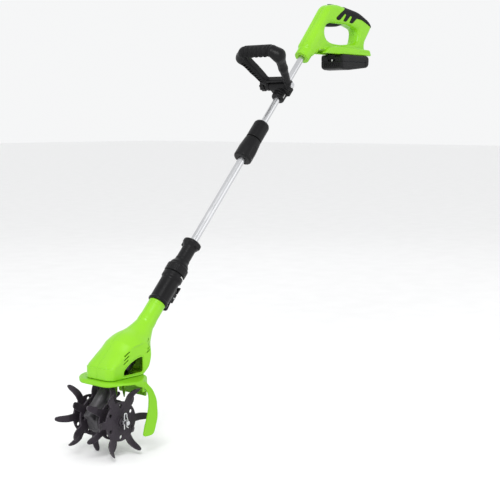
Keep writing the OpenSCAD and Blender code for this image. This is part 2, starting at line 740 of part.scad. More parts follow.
module gearbox_body() {
    difference() {
        union() {
            translate([axle_offset, 0, 0]) rod_y(gear_case_r, -gear_half, gear_half);
            translate([0, 0, -26]) cylinder(r = 14, h = motor_u + 20);
            translate([0, 0, motor_u - 7]) cylinder(r = motor_r - 1, h = 7);
            box([0, -10, 18], [22, 10, 40]);
        }
        translate([axle_offset, 0, 0]) {
            rod_y(gear_pitch_r + 3.5, -6, 6);
            rod_y(axle_r + 5, -gear_half - 1, gear_half + 1);
        }
        translate([0, 0, -15]) cylinder(r = worm_r + 3, h = 46);
        translate([0, 0, -40]) cylinder(r = shaft_r + 1, h = big);
        for (u = bush_us) translate([0, 0, u]) cylinder(r = shaft_r + 4, h = 8);
        for (s = gear_screw_spots) translate([s[0], 0, s[1]]) {
            rod_y(1.5, -gear_half - 1, gear_half + 1);
            rod_y(3.2, gear_half - 3, gear_half + 1);
        }
    }
}
gear_screw_spots = [for (a = [-100, -20, 60]) [axle_offset + 34 * cos(a), 34 * sin(a)] * 1];
module gearbox_left() {
    color(black) at_pole(0) half(-1) gearbox_body();
}
module gearbox_right() {
    color(black) at_pole(0) half(1) gearbox_body();
}
module gearbox_screws() {
    color(metal) at_pole(0) for (s = gear_screw_spots) translate([s[0], gear_half - 3, s[1]])
        rotate([-90, 0, 0]) screw(1.5, 2 * gear_half - 6);
}
module shaft_bushes() {
    color("goldenrod") at_pole(0) for (u = bush_us) pipe(shaft_r + 4, shaft_r + run_gap, u, u + 8);
}
module axle_bushes() {
    color("goldenrod") at_axle() for (s = [-1, 1]) difference() {
        rod_y(axle_r + 5, s > 0 ? 6.5 : -gear_half - 1.5, s > 0 ? gear_half + 1.5 : -6.5);
        rod_y(axle_r + run_gap, -big, big);
    }
}

// ------------------------------------------------------------------ tine set
clip_y = outer_y + 12;
stub_len = 9;
axle_half = clip_y + 3 + stub_len;
hub_in = gear_half + 2.5;
hub_mid = (inner_y + outer_y) / 2;
hub_out = outer_y + 9;
claw_r0 = 0.72 * wheel_r;

module axle() {
    color(metal) at_axle() difference() {
        union() {
            rod_y(axle_r, stub_len - axle_half, axle_half - stub_len);
            rod_y(axle_r - 1, -axle_half, axle_half);
        }
        for (s = [-1, 1]) translate([0, s * clip_y, -big / 2]) cylinder(r = 1.5, h = big);
    }
}
// Wheel with its plate at y = 0, claws bent towards +Y by reach; phase turns it
module tine_wheel(hub0, hub1, reach, phase) {
    difference() {
        union() {
            rotate([0, phase, 0]) {
                rod_y(web_r, -tine_t / 2, tine_t / 2);
                for (i = [0:claws - 1]) rotate([0, i * 360 / claws, 0]) claw(reach);
            }
            rod_y(10, hub0, hub1);
        }
        rod_y(axle_r, -big, big);
        rotate([0, phase, 0]) for (i = [0:claws - 1]) rotate([0, (i + 0.5) * 360 / claws, 0])
            translate([web_r - 13, 0, 0]) rod_y(5, -big, big);
    }
}
// One claw along +X: a flat root, then a tip bent sideways, both hooked
module claw(reach) {
    bend = atan(abs(reach) / (wheel_r - claw_r0));
    tip_len = (wheel_r - claw_r0) / cos(bend);
    slab(-tine_t / 2, tine_t / 2) polygon([[20, -11], [claw_r0, -7.5], [claw_r0, 8.5], [20, 11]]);
    translate([claw_r0, 0, 0]) rotate([0, 0, sign(reach) * bend]) translate([-tine_t / 3, 0, 0])
        slab(-tine_t / 2, tine_t / 2) polygon([[0, -7], [tip_len - 3, -3], [tip_len, 3],
            [tip_len - 2, 8], [0, 8]]);
}
module wheel_at(y, hub0, hub1, reach, phase) {
    color(steel) at_axle() translate([0, y, 0]) tine_wheel(hub0 - y, hub1 - y, reach, phase);
}
module tine_wheel_1() {
    wheel_at(-outer_y, -hub_out, -hub_mid, -tip_out, 0);
}
module tine_wheel_2() {
    wheel_at(-inner_y, -hub_mid, -hub_in, tip_in, 30);
}
module tine_wheel_3() {
    wheel_at(inner_y, hub_in, hub_mid, -tip_in, 30);
}
module tine_wheel_4() {
    wheel_at(outer_y, hub_mid, hub_out, tip_out, 0);
}
// Retaining clips: a straight leg through the axle and a round leg over it
module wheel_clips() {
    color(metal) at_axle() for (s = [-1, 1]) translate([0, s * clip_y, 0]) {
        translate([0, 0, -axle_r - 8]) cylinder(r = 1.5, h = 2 * axle_r + 14);
        rotate([90, 0, 0]) rotate_extrude() translate([axle_r + 3, 0]) circle(r = 1.5);
    }
}
// Guard: a top plate with a tapered nose and its rear corners cut off, a short skirt behind, and a curved
// wing on each side
module tine_guard() {
    cut_x = 43;
    cut_y = guard_half - 40;
    nose_x = foot_x - 65;
    nose_y = cut_y - 5;
    plan = [[14, -guard_half], [cut_x, -guard_half], [guard_x, -cut_y], [guard_x, cut_y], [cut_x, guard_half],
        [14, guard_half], [nose_x + 24, nose_y + 32], [nose_x, nose_y], [nose_x, -nose_y],
        [nose_x + 24, -nose_y - 32]];
    color(green) at_axle() difference() {
        union() {
            translate([0, 0, guard_z - guard_t]) linear_extrude(guard_t) polygon(plan);
            // skirt under the rear edge and the two cut corners
            translate([0, 0, guard_z - skirt_drop]) linear_extrude(skirt_drop) difference() {
                polygon(plan);
                polygon(inset(plan, guard_t));
                translate([cut_x - big, -big]) square([big, 2 * big]);
            }
            box([guard_x - guard_t, -cut_y + 2, guard_z - 50], [guard_x, cut_y - 2, guard_z]);
            for (s = [-1, 1]) slab(s > 0 ? guard_half - guard_t : -guard_half, s > 0 ? guard_half : guard_t - guard_half)
                polygon([[14, guard_z], [14, guard_z - 8], [46, guard_z - 18], [57, 52], [56, 24], [38, -guard_drop],
                    [70, -guard_drop], [83, 0], [80, 40], [68, 68], [cut_x, guard_z]]);
        }
        box([foot_x - 30, -28, guard_z - 12], [foot_x + 42, 28, guard_z + 12]);
        for (x = guard_screw_xs, s = [-1, 1]) translate([x, s * 36, 0]) cylinder(r = 2, h = big);
    }
}
guard_screw_xs = [foot_x - 14, foot_x + 36];
module guard_screws() {
    color(metal) at_axle() for (x = guard_screw_xs, s = [-1, 1]) translate([x, s * 36, guard_z - guard_t])
        rotate([180, 0, 0]) screw(2, guard_t + 3);
}

handle_left();
handle_right();
handle_grip();
trigger();
trigger_pin();
trigger_spring();
lock_button();
lock_spring();
power_switch();
terminal_block();
handle_screws();
upper_tube();
tube_bush();
battery_base();
battery_cover();
battery_cells();
battery_latch();
latch_spring();
clamp_front();
clamp_rear();
clamp_screws();
pivot_bolt();
assist_loop();
assist_grip();
clamp_knob();
lower_tube();
lock_body();
lock_collet();
lock_collar();
tube_cable();
coupling_upper();
swivel_clip();
coupling_lower();
coupling_lever();
lever_pin();
lever_spring();
head_left();
head_right();
head_screws();
motor_case();
motor_magnets();
motor_rotor();
motor_fan();
worm();
gearbox_left();
gearbox_right();
gearbox_screws();
shaft_bushes();
axle_bushes();
axle();
worm_wheel();
tine_wheel_1();
tine_wheel_2();
tine_wheel_3();
tine_wheel_4();
wheel_clips();
tine_guard();
guard_screws();
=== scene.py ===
"""Looks of the hand-held mini cultivator, built round its CAD frame.

Most shells are signed-distance fields turned into smooth quad meshes. Lengths are in
millimetres until a mesh is placed, and every place comes from the CAD frame.
"""

import json
import math

import bpy
import numpy as np
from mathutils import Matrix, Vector


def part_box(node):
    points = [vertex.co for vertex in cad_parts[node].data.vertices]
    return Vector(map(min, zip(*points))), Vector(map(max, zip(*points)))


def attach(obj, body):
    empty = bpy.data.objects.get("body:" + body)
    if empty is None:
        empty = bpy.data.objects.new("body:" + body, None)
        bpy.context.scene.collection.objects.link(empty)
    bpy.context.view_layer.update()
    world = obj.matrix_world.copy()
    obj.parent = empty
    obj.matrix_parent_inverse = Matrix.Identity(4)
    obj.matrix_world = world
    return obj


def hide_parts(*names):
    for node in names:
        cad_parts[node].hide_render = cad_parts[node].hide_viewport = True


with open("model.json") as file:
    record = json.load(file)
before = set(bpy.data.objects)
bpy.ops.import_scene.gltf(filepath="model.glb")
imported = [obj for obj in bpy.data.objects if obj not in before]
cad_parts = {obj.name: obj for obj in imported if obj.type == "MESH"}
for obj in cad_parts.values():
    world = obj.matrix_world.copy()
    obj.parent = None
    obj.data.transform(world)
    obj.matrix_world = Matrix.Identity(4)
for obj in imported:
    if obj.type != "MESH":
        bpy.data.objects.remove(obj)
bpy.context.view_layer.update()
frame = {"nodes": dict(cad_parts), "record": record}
COARSE = 1.0

# ------------------------------------------------------------------ places
LEAN = math.radians(47)
UP_POLE = np.array([math.cos(LEAN), 0, math.sin(LEAN)])
OFF_POLE = np.array([-math.sin(LEAN), 0, math.cos(LEAN)])
AXLE_OFFSET = 36.0
POLE_AXES = np.column_stack([-OFF_POLE, [0, 1, 0], UP_POLE])
NECK_U, SPLIT_U, COUPLING_U, LOCK_U, CLAMP_U, HANDLE_U = 287.0, 367.5, 462.0, 726.0, 960.0, 1077.0
PIVOT_X = 18.0


def middle_of(node):
    lo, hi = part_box(node)
    return 500 * (np.array(lo) + np.array(hi))


AXLE = middle_of("axle")


def off_axle(u):
    return u * UP_POLE + AXLE_OFFSET * OFF_POLE


def at_axle(y=0):
    return AXLE + np.array([0, y, 0]), np.eye(3)


def at_pole(u, x=0):
    return AXLE + off_axle(u) + x * POLE_AXES[:, 0], POLE_AXES


def at_handle():
    return AXLE + off_axle(HANDLE_U), np.eye(3)


# ------------------------------------------------------------ fields, in mm
def smin(a, b, k):
    h = np.clip(0.5 + 0.5 * (b - a) / k, 0, 1)
    return b + (a - b) * h - k * h * (1 - h)


def smax(a, b, k):
    return -smin(-a, -b, k)


def cut(a, b, k=0.8):
    """a with b taken away, its new edges softened over k."""
    return smax(a, -b, k)


def meet(a, b, r):
    """Where both hold, its edge rounded to the radius r."""
    p, q = a + r, b + r
    return np.minimum(np.maximum(p, q), 0) + np.hypot(np.maximum(p, 0), np.maximum(q, 0)) - r


def bar(P, lo, hi, r=0.0):
    lo, hi = np.array(lo, float), np.array(hi, float)
    q = abs(P - (lo + hi) / 2) - (hi - lo) / 2 + r
    return np.minimum(q.max(1), 0) + np.linalg.norm(np.maximum(q, 0), axis=1) - r


def rod(P, axis, centre, radius, end0, end1, r=0.0):
    i, j = [k for k in range(3) if k != axis]
    d = np.hypot(P[:, i] - centre[i], P[:, j] - centre[j]) - radius
    return meet(d, abs(P[:, axis] - (end0 + end1) / 2) - (end1 - end0) / 2, r)


def pill(P, a, b, ra, rb=None, flare=1.0):
    """Capsule from a to b whose radius runs from ra to rb; flare above 1 hollows its sides."""
    a, b = np.array(a, float), np.array(b, float)
    t = np.clip((P - a) @ (b - a) / ((b - a) @ (b - a)), 0, 1)
    rb = ra if rb is None else rb
    return np.linalg.norm(P - a - t[:, None] * (b - a), axis=1) - (rb + (ra - rb) * (1 - t) ** flare)


def rounded(points, r, steps=5, hold=0.0):
    """Outline with every corner rounded off over the length r, or less on a short side."""
    p = np.array(points, float)
    out = []
    for i in range(len(p)):
        u, v = p[i - 1] - p[i], p[(i + 1) % len(p)] - p[i]
        lu, lv = np.linalg.norm(u), np.linalg.norm(v)
        a, b = p[i] + min(r, 0.45 * lu) * u / lu, p[i] + min(r, 0.45 * lv) * v / lv
        if hold:
            out.append(a + min(hold, 0.04 * lu) * u / lu)
        for t in np.linspace(0, 1, steps):
            out.append((1 - t) ** 2 * a + 2 * t * (1 - t) * p[i] + t * t * b)
        if hold:
            out.append(b + min(hold, 0.04 * lv) * v / lv)
    return np.array(out)


def flat(x, z, points):
    """Distance to an outline, negative inside it."""
    near, inside = np.full(x.shape, np.inf), np.zeros(x.shape, bool)
    pts = np.asarray(points, float)
    for (ax, az), (bx, bz) in zip(pts, np.roll(pts, -1, 0)):
        ex, ez, wx, wz = bx - ax, bz - az, x - ax, z - az
        t = np.clip((wx * ex + wz * ez) / (ex * ex + ez * ez + 1e-12), 0, 1)
        near = np.minimum(near, (wx - ex * t) ** 2 + (wz - ez * t) ** 2)
        inside ^= ((az <= z) != (bz <= z)) & ((ex * wz - ez * wx > 0) == (bz > az))
    return np.where(inside, -1, 1) * np.sqrt(near)


def plate(P, points, half, r):
    return meet(flat(P[:, 0], P[:, 2], points), abs(P[:, 1]) - half, r)


def evaluate(f, P, most=250000):
    return np.concatenate([f(P[i:i + most]) for i in range(0, len(P), most)])


CORNERS = np.array([[i, j, k] for i in (0, 1) for j in (0, 1) for k in (0, 1)])
EDGES = [(a, b) for a in range(8) for b in range(a + 1, 8) if abs(CORNERS[a] - CORNERS[b]).sum() == 1]
BLOCK = 4


def sampled(f, lo, h, n):
    """The field on a grid; blocks that the surface can't reach get only its sign."""
    nb = -(-n // BLOCK)
    block = np.stack(np.meshgrid(*[np.arange(m) for m in nb], indexing="ij"), -1).reshape(-1, 3)
    mid = evaluate(f, lo + (block * BLOCK + (BLOCK - 1) / 2) * h)
    reach = 1.5 * BLOCK * h + 2 * h
    grid = np.where(mid > 0, reach, -reach).reshape(nb)
    for axis in range(3):
        grid = grid.repeat(BLOCK, axis)
    inner = np.stack(np.meshgrid(*[np.arange(BLOCK)] * 3, indexing="ij"), -1).reshape(-1, 3)
    at = (block[abs(mid) < reach][:, None] * BLOCK + inner[None]).reshape(-1, 3)
    grid[tuple(at.T)] = evaluate(f, lo + at * h)
    return grid[:n[0], :n[1], :n[2]]


def nets(f, lo, hi, h):
    """Quad mesh of the field's zero surface, drawn on to it by two Newton steps."""
    lo = np.array(lo, float) - 1.6 * h
    n = np.ceil((np.array(hi) - lo) / h).astype(int) + 3
    v = sampled(f, lo, h, n)
    s = v < 0
    count = sum(s[i:n[0] - 1 + i, j:n[1] - 1 + j, k:n[2] - 1 + k].astype(np.int8) for i, j, k in CORNERS)
    cells = np.argwhere((count > 0) & (count < 8))
    ids = np.full(count.shape, -1)
    ids[tuple(cells.T)] = np.arange(len(cells))
    total, hits = np.zeros((len(cells), 3)), np.zeros(len(cells))
    for a, b in EDGES:
        va, vb = v[tuple((cells + CORNERS[a]).T)], v[tuple((cells + CORNERS[b]).T)]
        cross = (va < 0) != (vb < 0)
        t = np.where(cross, va / np.where(cross, va - vb, 1), 0)
        total += cross[:, None] * (CORNERS[a] + t[:, None] * (CORNERS[b] - CORNERS[a]))
        hits += cross
    pos = lo + (cells + total / hits[:, None]) * h
    quads = []
    for axis in range(3):
        u, w = np.eye(3, dtype=int)[(axis + 1) % 3], np.eye(3, dtype=int)[(axis + 2) % 3]
        here = [slice(1, -1)] * 3
        here[axis] = slice(0, -1)
        there = list(here)
        there[axis] = slice(1, None)
        s0, s1 = s[tuple(here)], s[tuple(there)]
        edge = np.argwhere(s0 != s1)
        first = s0[tuple(edge.T)]
        edge = edge + u + w
        q = np.stack([ids[tuple((edge - d).T)] for d in (u + w, w, 0 * u, u)], 1)
        q[~first] = q[~first][:, ::-1]
        quads.append(q)
    e = 0.05 * h
    for _ in range(2):
        d = evaluate(f, pos)
        g = np.stack([(evaluate(f, pos + e * k) - d) / e for k in np.eye(3)], 1)
        move = -(d / np.maximum((g * g).sum(1), 0.3))[:, None] * g
        size = np.linalg.norm(move, axis=1, keepdims=True)
        pos = pos + move * np.minimum(1, 0.5 * h / np.maximum(size, 1e-9))
    return pos, np.concatenate(quads)


# ----------------------------------------------------------------- materials
def node_material(name):
    mat = bpy.data.materials.new(name)
    mat.use_nodes = True
    nt = mat.node_tree
    return mat, nt, nt.nodes["Principled BSDF"]


def noise(nt, scale, detail=4.0, stretch=None):
    coord = nt.nodes.new("ShaderNodeTexCoord")
    out = coord.outputs["Object"]
    if stretch is not None:
        mapping = nt.nodes.new("ShaderNodeMapping")
        mapping.inputs["Rotation"].default_value = stretch[0]
        mapping.inputs["Scale"].default_value = stretch[1]
        nt.links.new(out, mapping.inputs["Vector"])
        out = mapping.outputs["Vector"]
    tex = nt.nodes.new("ShaderNodeTexNoise")
    tex.inputs["Scale"].default_value = scale
    tex.inputs["Detail"].default_value = detail
    nt.links.new(out, tex.inputs["Vector"])
    return tex.outputs["Fac"]


def ramp(nt, fac, stops):
    node = nt.nodes.new("ShaderNodeValToRGB")
    for el, (at, value) in zip(node.color_ramp.elements, (stops[0], stops[-1])):
        el.position = at
        el.color = (*value, 1) if hasattr(value, "__len__") else (value, value, value, 1)
    for at, value in stops[1:-1]:
        el = node.color_ramp.elements.new(at)
        el.color = (*value, 1) if hasattr(value, "__len__") else (value, value, value, 1)
    nt.links.new(fac, node.inputs["Fac"])
    return node.outputs["Color"]


def surface(name, dark, light, rough, grain, bump, metallic=0.0, patch=9.0, specular=0.5,
            coat=0.0, stretch=None, wear=None):
    """Material with patchy colour, patchy roughness, a fine grain and optional worn edges."""
    mat, nt, shader = node_material(name)
    colour = ramp(nt, noise(nt, patch, 5.0, stretch), [(0.3, dark), (0.7, light)])
    if wear is not None:
        edge = nt.nodes.new("ShaderNodeNewGeometry").outputs["Pointiness"]
        worn = nt.nodes.new("ShaderNodeMath")
        worn.operation = "MULTIPLY"
        nt.links.new(ramp(nt, edge, [(0.53, 0.0), (0.60, 1.0)]), worn.inputs[0])
        nt.links.new(ramp(nt, noise(nt, 160.0), [(0.42, 0.0), (0.62, 1.0)]), worn.inputs[1])
        mix = nt.nodes.new("ShaderNodeMix")
        mix.data_type = "RGBA"
        mix.inputs[7].default_value = (*wear, 1)
        nt.links.new(worn.outputs[0], mix.inputs[0])
        nt.links.new(colour, mix.inputs[6])
        colour = mix.outputs[2]
    nt.links.new(colour, shader.inputs["Base Color"])
    low, high = rough
    roughness = ramp(nt, noise(nt, patch * 4, 6.0, stretch), [(0.3, low), (0.7, high)])
    nt.links.new(roughness, shader.inputs["Roughness"])
    shader.inputs["Metallic"].default_value = metallic
    shader.inputs["Specular IOR Level"].default_value = specular
    shader.inputs["Coat Weight"].default_value = coat
    shader.inputs["Coat Roughness"].default_value = 0.12
    bumps = nt.nodes.new("ShaderNodeBump")
    bumps.inputs["Strength"].default_value = bump
    bumps.inputs["Distance"].default_value = 0.0004
    nt.links.new(noise(nt, grain, 3.0, stretch), bumps.inputs["Height"])
    nt.links.new(bumps.outputs["Normal"], shader.inputs["Normal"])
    return mat


ALONG_POLE = ((0, math.radians(-43), 0), (1, 1, 0.04))
MATS = {
    "green_shell": surface("lime_plastic", (0.215, 0.555, 0.010), (0.25, 0.60, 0.013), (0.28, 0.38), 900, 0.22,
                           coat=0.1, specular=0.3),
    "green_guard": surface("lime_guard_plastic", (0.19, 0.50, 0.010), (0.22, 0.55, 0.013), (0.34, 0.45), 900, 0.3,
                           specular=0.25),
    "black_plastic": surface("black_plastic", (0.006, 0.006, 0.0065), (0.011, 0.011, 0.012), (0.28, 0.40), 1400,
                             0.4, specular=0.14),
    "battery_plastic": surface("battery_plastic", (0.007, 0.007, 0.0075), (0.012, 0.012, 0.013), (0.32, 0.44),
                               1500, 0.5, specular=0.14),
    "soft_grip": surface("soft_rubber", (0.006, 0.006, 0.0065), (0.010, 0.010, 0.011), (0.48, 0.62), 2200, 0.6,
                         specular=0.12),
    "tube": surface("anodised_aluminium", (0.56, 0.565, 0.58), (0.65, 0.655, 0.67), (0.24, 0.34), 1500, 0.16,
                    metallic=1.0, stretch=ALONG_POLE),
    "tine_steel": surface("powder_coated_steel", (0.030, 0.025, 0.032), (0.050, 0.042, 0.052), (0.36, 0.54), 700,
                          0.5, metallic=0.3, patch=26.0, wear=(0.22, 0.21, 0.22), specular=0.14),
    "bright_steel": surface("zinc_steel", (0.55, 0.56, 0.58), (0.68, 0.68, 0.69), (0.24, 0.38), 1200, 0.2,
                            metallic=1.0, patch=40.0),
    "motor_steel": surface("black_motor_steel", (0.020, 0.020, 0.022), (0.035, 0.035, 0.038), (0.22, 0.34), 800,
                           0.15, metallic=0.6, patch=30.0),
    "gear_case": surface("gear_case_alloy", (0.045, 0.043, 0.047), (0.075, 0.072, 0.078), (0.42, 0.6), 600, 0.6,
                         metallic=0.5, patch=30.0),
    "bronze": surface("sintered_bronze", (0.42, 0.27, 0.10), (0.55, 0.36, 0.15), (0.35, 0.5), 900, 0.4,
                      metallic=1.0, patch=40.0),
    "cell_wrap": surface("cell_wrap", (0.05, 0.16, 0.36), (0.07, 0.20, 0.42), (0.3, 0.4), 500, 0.1),
    # pale colour: the clamp seam strip's own colour, and a painted highlight on the lock slit and the coupling
    # band
    "light_strip": surface("pale_strip_and_painted_highlight", (0.58, 0.58, 0.57), (0.68, 0.68, 0.67), (0.35, 0.45), 900, 0.2),
}


# -------------------------------------------------------------------- pieces
def mesh_piece(name, points, quads, place, body, look, nodes=()):
    origin, axes = place
    world = (points @ axes.T + origin) / 1000
    mesh = bpy.data.meshes.new(name)
    mesh.vertices.add(len(world))
    mesh.vertices.foreach_set("co", world.astype(np.float32).ravel())
    mesh.loops.add(quads.size)
    mesh.loops.foreach_set("vertex_index", quads.astype(np.int32).ravel())
    mesh.polygons.add(len(quads))
    mesh.polygons.foreach_set("loop_start", np.arange(0, quads.size, 4, dtype=np.int32))
    mesh.update(calc_edges=True)
    mesh.validate()
    mesh.polygons.foreach_set("use_smooth", np.ones(len(mesh.polygons), bool))
    mesh.materials.append(MATS[look])
    obj = bpy.data.objects.new(name, mesh)
    bpy.context.scene.collection.objects.link(obj)
    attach(obj, body)
    if nodes:
        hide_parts(*nodes)
    return obj


def cast(name, place, lo, hi, step, field, body, look, nodes=()):
    """A piece moulded from a field."""
    points, quads = nets(field, lo, hi, step * COARSE)
    return mesh_piece(name, points, quads, place, body, look, nodes)


def halves(name, place, lo, hi, step, field, body, look, nodes):
    """Two shells that part at y = 0 with a fine groove between them."""
    for side, word, node in ((-1, "left", nodes[0]), (1, "right", nodes[1])):
        low, high = np.array(lo, float), np.array(hi, float)
        (high if side < 0 else low)[1] = 0
        cast(f"{name}_{word}", place, low, high, step,
             lambda P, s=side: smax(field(P), 0.12 - s * P[:, 1], 0.5), body, look, (node,))


def turned(name, place, profile, soft, body, look, nodes=(), seg=128, ripple=None):
    """A closed (radius, height) profile spun round local Z; ripple(angle, height) cuts into its outside."""
    prof = rounded(profile, soft, 5, 0.4)
    ang = np.arange(seg) * 2 * math.pi / seg
    r, z = np.meshgrid(prof[:, 0], ang, indexing="xy")[0], np.meshgrid(prof[:, 1], ang, indexing="xy")[0]
    a = np.repeat(ang[:, None], len(prof), 1)
    if ripple is not None:
        outside = r > 0.75 * prof[:, 0].max()
        r = r - np.where(outside, ripple(a, z), 0)
    points = np.stack([r * np.cos(a), r * np.sin(a), z], -1).reshape(-1, 3)
    i, j = np.meshgrid(np.arange(seg), np.arange(len(prof)), indexing="ij")
    k, m = (i + 1) % seg, (j + 1) % len(prof)
    row = len(prof)
    quads = np.stack([i * row + j, k * row + j, k * row + m, i * row + m], -1).reshape(-1, 4)
    area = 0.5 * np.sum(prof[:, 0] * np.roll(prof[:, 1], -1) - np.roll(prof[:, 0], -1) * prof[:, 1])
    if area < 0:
        quads = quads[:, ::-1]
    return mesh_piece(name, points, quads, place, body, look, nodes)


def wire(name, place, path, radius, body, look, nodes=(), seg=14):
    """Round wire along a smoothed path, with domed ends."""
    p = np.array(path, float)
    for _ in range(3):
        q = np.empty((2 * len(p), 3))
        q[0], q[-1] = p[0], p[-1]
        q[1:-1:2], q[2:-1:2] = 0.75 * p[:-1] + 0.25 * p[1:], 0.25 * p[:-1] + 0.75 * p[1:]
        p = q
    t = np.gradient(p, axis=0)
    t /= np.linalg.norm(t, axis=1, keepdims=True)
    side = np.array([0.0, 1.0, 0.0])
    rings, ends = [], [(0, -0.9, 0.35), (0, -0.6, 0.8)]
    tail = [(len(p) - 1, 0.6, 0.8), (len(p) - 1, 0.9, 0.35)]
    for i, shift, size in ends + [(i, 0, 1) for i in range(len(p))] + tail:
        u = side - (side @ t[i]) * t[i]
        u /= np.linalg.norm(u)
        w = np.cross(t[i], u)
        a = np.arange(seg) * 2 * math.pi / seg
        rings.append(p[i] + shift * radius * t[i]
                     + size * radius * (np.cos(a)[:, None] * u + np.sin(a)[:, None] * w))
    n = len(rings)
    points = np.concatenate(rings)
    i, j = np.meshgrid(np.arange(n - 1), np.arange(seg), indexing="ij")
    k = (j + 1) % seg
    quads = [np.stack([i * seg + j, i * seg + k, (i + 1) * seg + k, (i + 1) * seg + j], -1).reshape(-1, 4)]
    for base, turn in ((0, -1), ((n - 1) * seg, 1)):
        for j in range(1, seg // 2):
            q = [j - 1, j, seg - 1 - j, seg - j] if j > 1 else [0, 1, seg - 2, seg - 1]
            if j < seg // 2:
                quads.append(base + np.array([q])[:, ::turn])
    return mesh_piece(name, points, np.concatenate(quads), place, body, look, nodes)


# --------------------------------------------------------------- rear handle
STRUT_R = 20.0
SHOE_Z = 15.0
MOUTH = STRUT_R * np.array([math.sin(LEAN), -math.cos(LEAN)])
OUTLINE = rounded([MOUTH, (MOUTH[0] + (SHOE_Z - MOUTH[1]) / math.tan(LEAN), SHOE_Z), (275, SHOE_Z), (260, 45),
                   (300, 96), (286, 112), (238, 132), (136, 147), (97, 143), -MOUTH], 16)
OPENING = rounded([(86, 52), (112, 43), (158, 41), (227, 47), (235, 84), (188, 96), (104, 96), (84, 88),
                   (77, 70)], 14)
SHOE = rounded([(60, SHOE_Z), (275, SHOE_Z), (268, 31), (120, 35), (80, 30)], 5)
PAD = rounded([(170, 170), (170, 139), (148, 126), (125, 111), (128, 105.5), (141, 105), (164, 123), (171, 122),
               (157, 104.5), (170, 102.5), (190, 119.5), (198, 118), (186, 101.5), (200, 100), (220, 114.5),
               (243, 112), (264, 105), (281, 98), (320, 84), (320, 170)], 3.5)
SCREW_SPOTS = [46 * UP_POLE[[0, 2]], (84, 113), (218, 114), (252, 62), (104, 30)]


def along_strut(P):
    """Points with local Z along the strut."""
    return P @ POLE_AXES


def handle_solid(P):
    S = along_strut(P)
    body = plate(P, OUTLINE, STRUT_R, 13)
    body = smax(body, 26 - S[:, 2], 6)
    body = smin(body, rod(S, 2, (0, 0, 0), STRUT_R, 0, 92, 2.5), 7)
    body = cut(body, flat(P[:, 0], P[:, 2], OPENING), 13)
    return smin(body, plate(P, SHOE, 33, 3.5), 5)


def handle_shell(P):
    S, wide = along_strut(P), abs(P[:, 1])
    body = handle_solid(P)
    body = cut(body, rod(S, 2, (0, 0, 0), 8.35, -5, 60), 1.2)
    body = cut(body, np.hypot(np.hypot(S[:, 0], S[:, 1]) - STRUT_R - 0.2, S[:, 2] - 6.0) - 0.8, 0.6)
    body = cut(body, np.minimum(bar(P, (50, -20, 10), (242, 20, 24)), bar(P, (50, -24, 19), (242, 24, 24))), 0.6)
    body = cut(body, bar(P, (91.5, -6.5, 83), (176.5, 6.5, 109), 2), 1.0)
    body = cut(body, bar(P, (115.5, -5.5, 130), (136.5, 5.5, 165), 1.5), 0.8)
    for x, z in SCREW_SPOTS:
        body = cut(body, rod(P, 1, (x, 0, z), 3.5, 17, 40), 0.8)
    # shallow pocket and step line on the side of the shoe, near the rear
    body = cut(body, meet(meet(abs(P[:, 0] - 240) - 24, abs(P[:, 2] - 22.5) - 3.2, 2.5), 32 - wide, 0), 0.8)
    return cut(body, meet(meet(abs(P[:, 0] - 135) - 62, abs(P[:, 2] - 19) - 0.6, 0.4), 32.2 - wide, 0), 0.5)


def pad_field(P):
    body = handle_solid(P)
    skin = smax(body - 1.2, -1.4 - body, 0.6)
    prongs = smax(skin, flat(P[:, 0], P[:, 2], PAD), 1.1)
    ridge = np.sin((P[:, 0] * 0.82 + P[:, 2] * 0.57) * 2 * math.pi / 5.5)
    low = np.clip((P[:, 0] - 215) / 12, 0, 1) * np.clip((118 - P[:, 2]) / 5, 0, 1)
    return prongs + 0.25 * low * ridge


def trigger_field(P):
    shape = rounded([(92, 90), (112, 86.5), (146, 89), (176, 96), (176, 107), (164, 107), (156, 99), (92, 99)], 4)
    return cut(plate(P, shape, 6, 1.6), rod(P, 1, (170, 0, 102), 2.1, -20, 20), 0.3)


def button_field(P):
    body = bar(P, (116, -5, 139), (136, 5, 147), 1.6)
    for x in (120.4, 124.1, 127.8, 131.5):
        body = cut(body, rod(P, 1, (x, 0, 147.6), 1.2, -20, 20), 0.5)
    return body


halves("handle_shell", at_handle(), (-18, -36, -18), (302, 36, 150), 1.25, handle_shell, "rear_handle",
       "green_shell", ("handle_left", "handle_right"))
cast("handle_pad", at_handle(), (118, -23, 92), (304, 23, 150), 0.95, pad_field, "rear_handle", "soft_grip",
     nodes=("handle_grip",))
cast("trigger_lever", at_handle(), (90, -7, 84), (178, 7, 109), 0.8, trigger_field, "trigger", "black_plastic",
     nodes=("trigger",))
cast("lock_off_button", at_handle(), (114, -6, 138), (138, 6, 152), 0.5, button_field, "lock_button",
     "black_plastic", nodes=("lock_button",))

# ------------------------------------------------------------------- battery
BATTERY = rounded([(132, -20.5), (141, -25.5), (167, -26.5), (252, -17.5), (260, -9.5), (260, 9.5), (253, 14.5),
                   (136, 14.5), (132, 10.5)], 6)
SPLIT_Z = -3.95


def battery_field(P):
    x, wide, z = P[:, 0], abs(P[:, 1]), P[:, 2]
    body = plate(P, BATTERY, 36, 5)
    # stepped side panel, framed end panel with ribs, and a finger hollow at the rear
    side = meet(meet(abs(x - 200) - 42, abs(z + 6 + (x - 200) * 0.04) - 10, 4), 35.1 - wide, 0)
    body = cut(body, side, 0.7)
    end = meet(meet(wide - 26, abs(z + 13.2) - 6.4, 3), x - 134.2, 0)
    ribs = abs(((P[:, 1] + 200) % 6.5) - 3.25) - 1.1
    body = cut(body, smax(end, -ribs, 0.5), 0.6)
    return cut(body, meet(meet(wide - 20, abs(z - 2) - 4, 3), 258.6 - x, 0), 1.0)


def battery_lower(P):
    return smax(battery_field(P), P[:, 2] - SPLIT_Z + 0.2, 0.6)


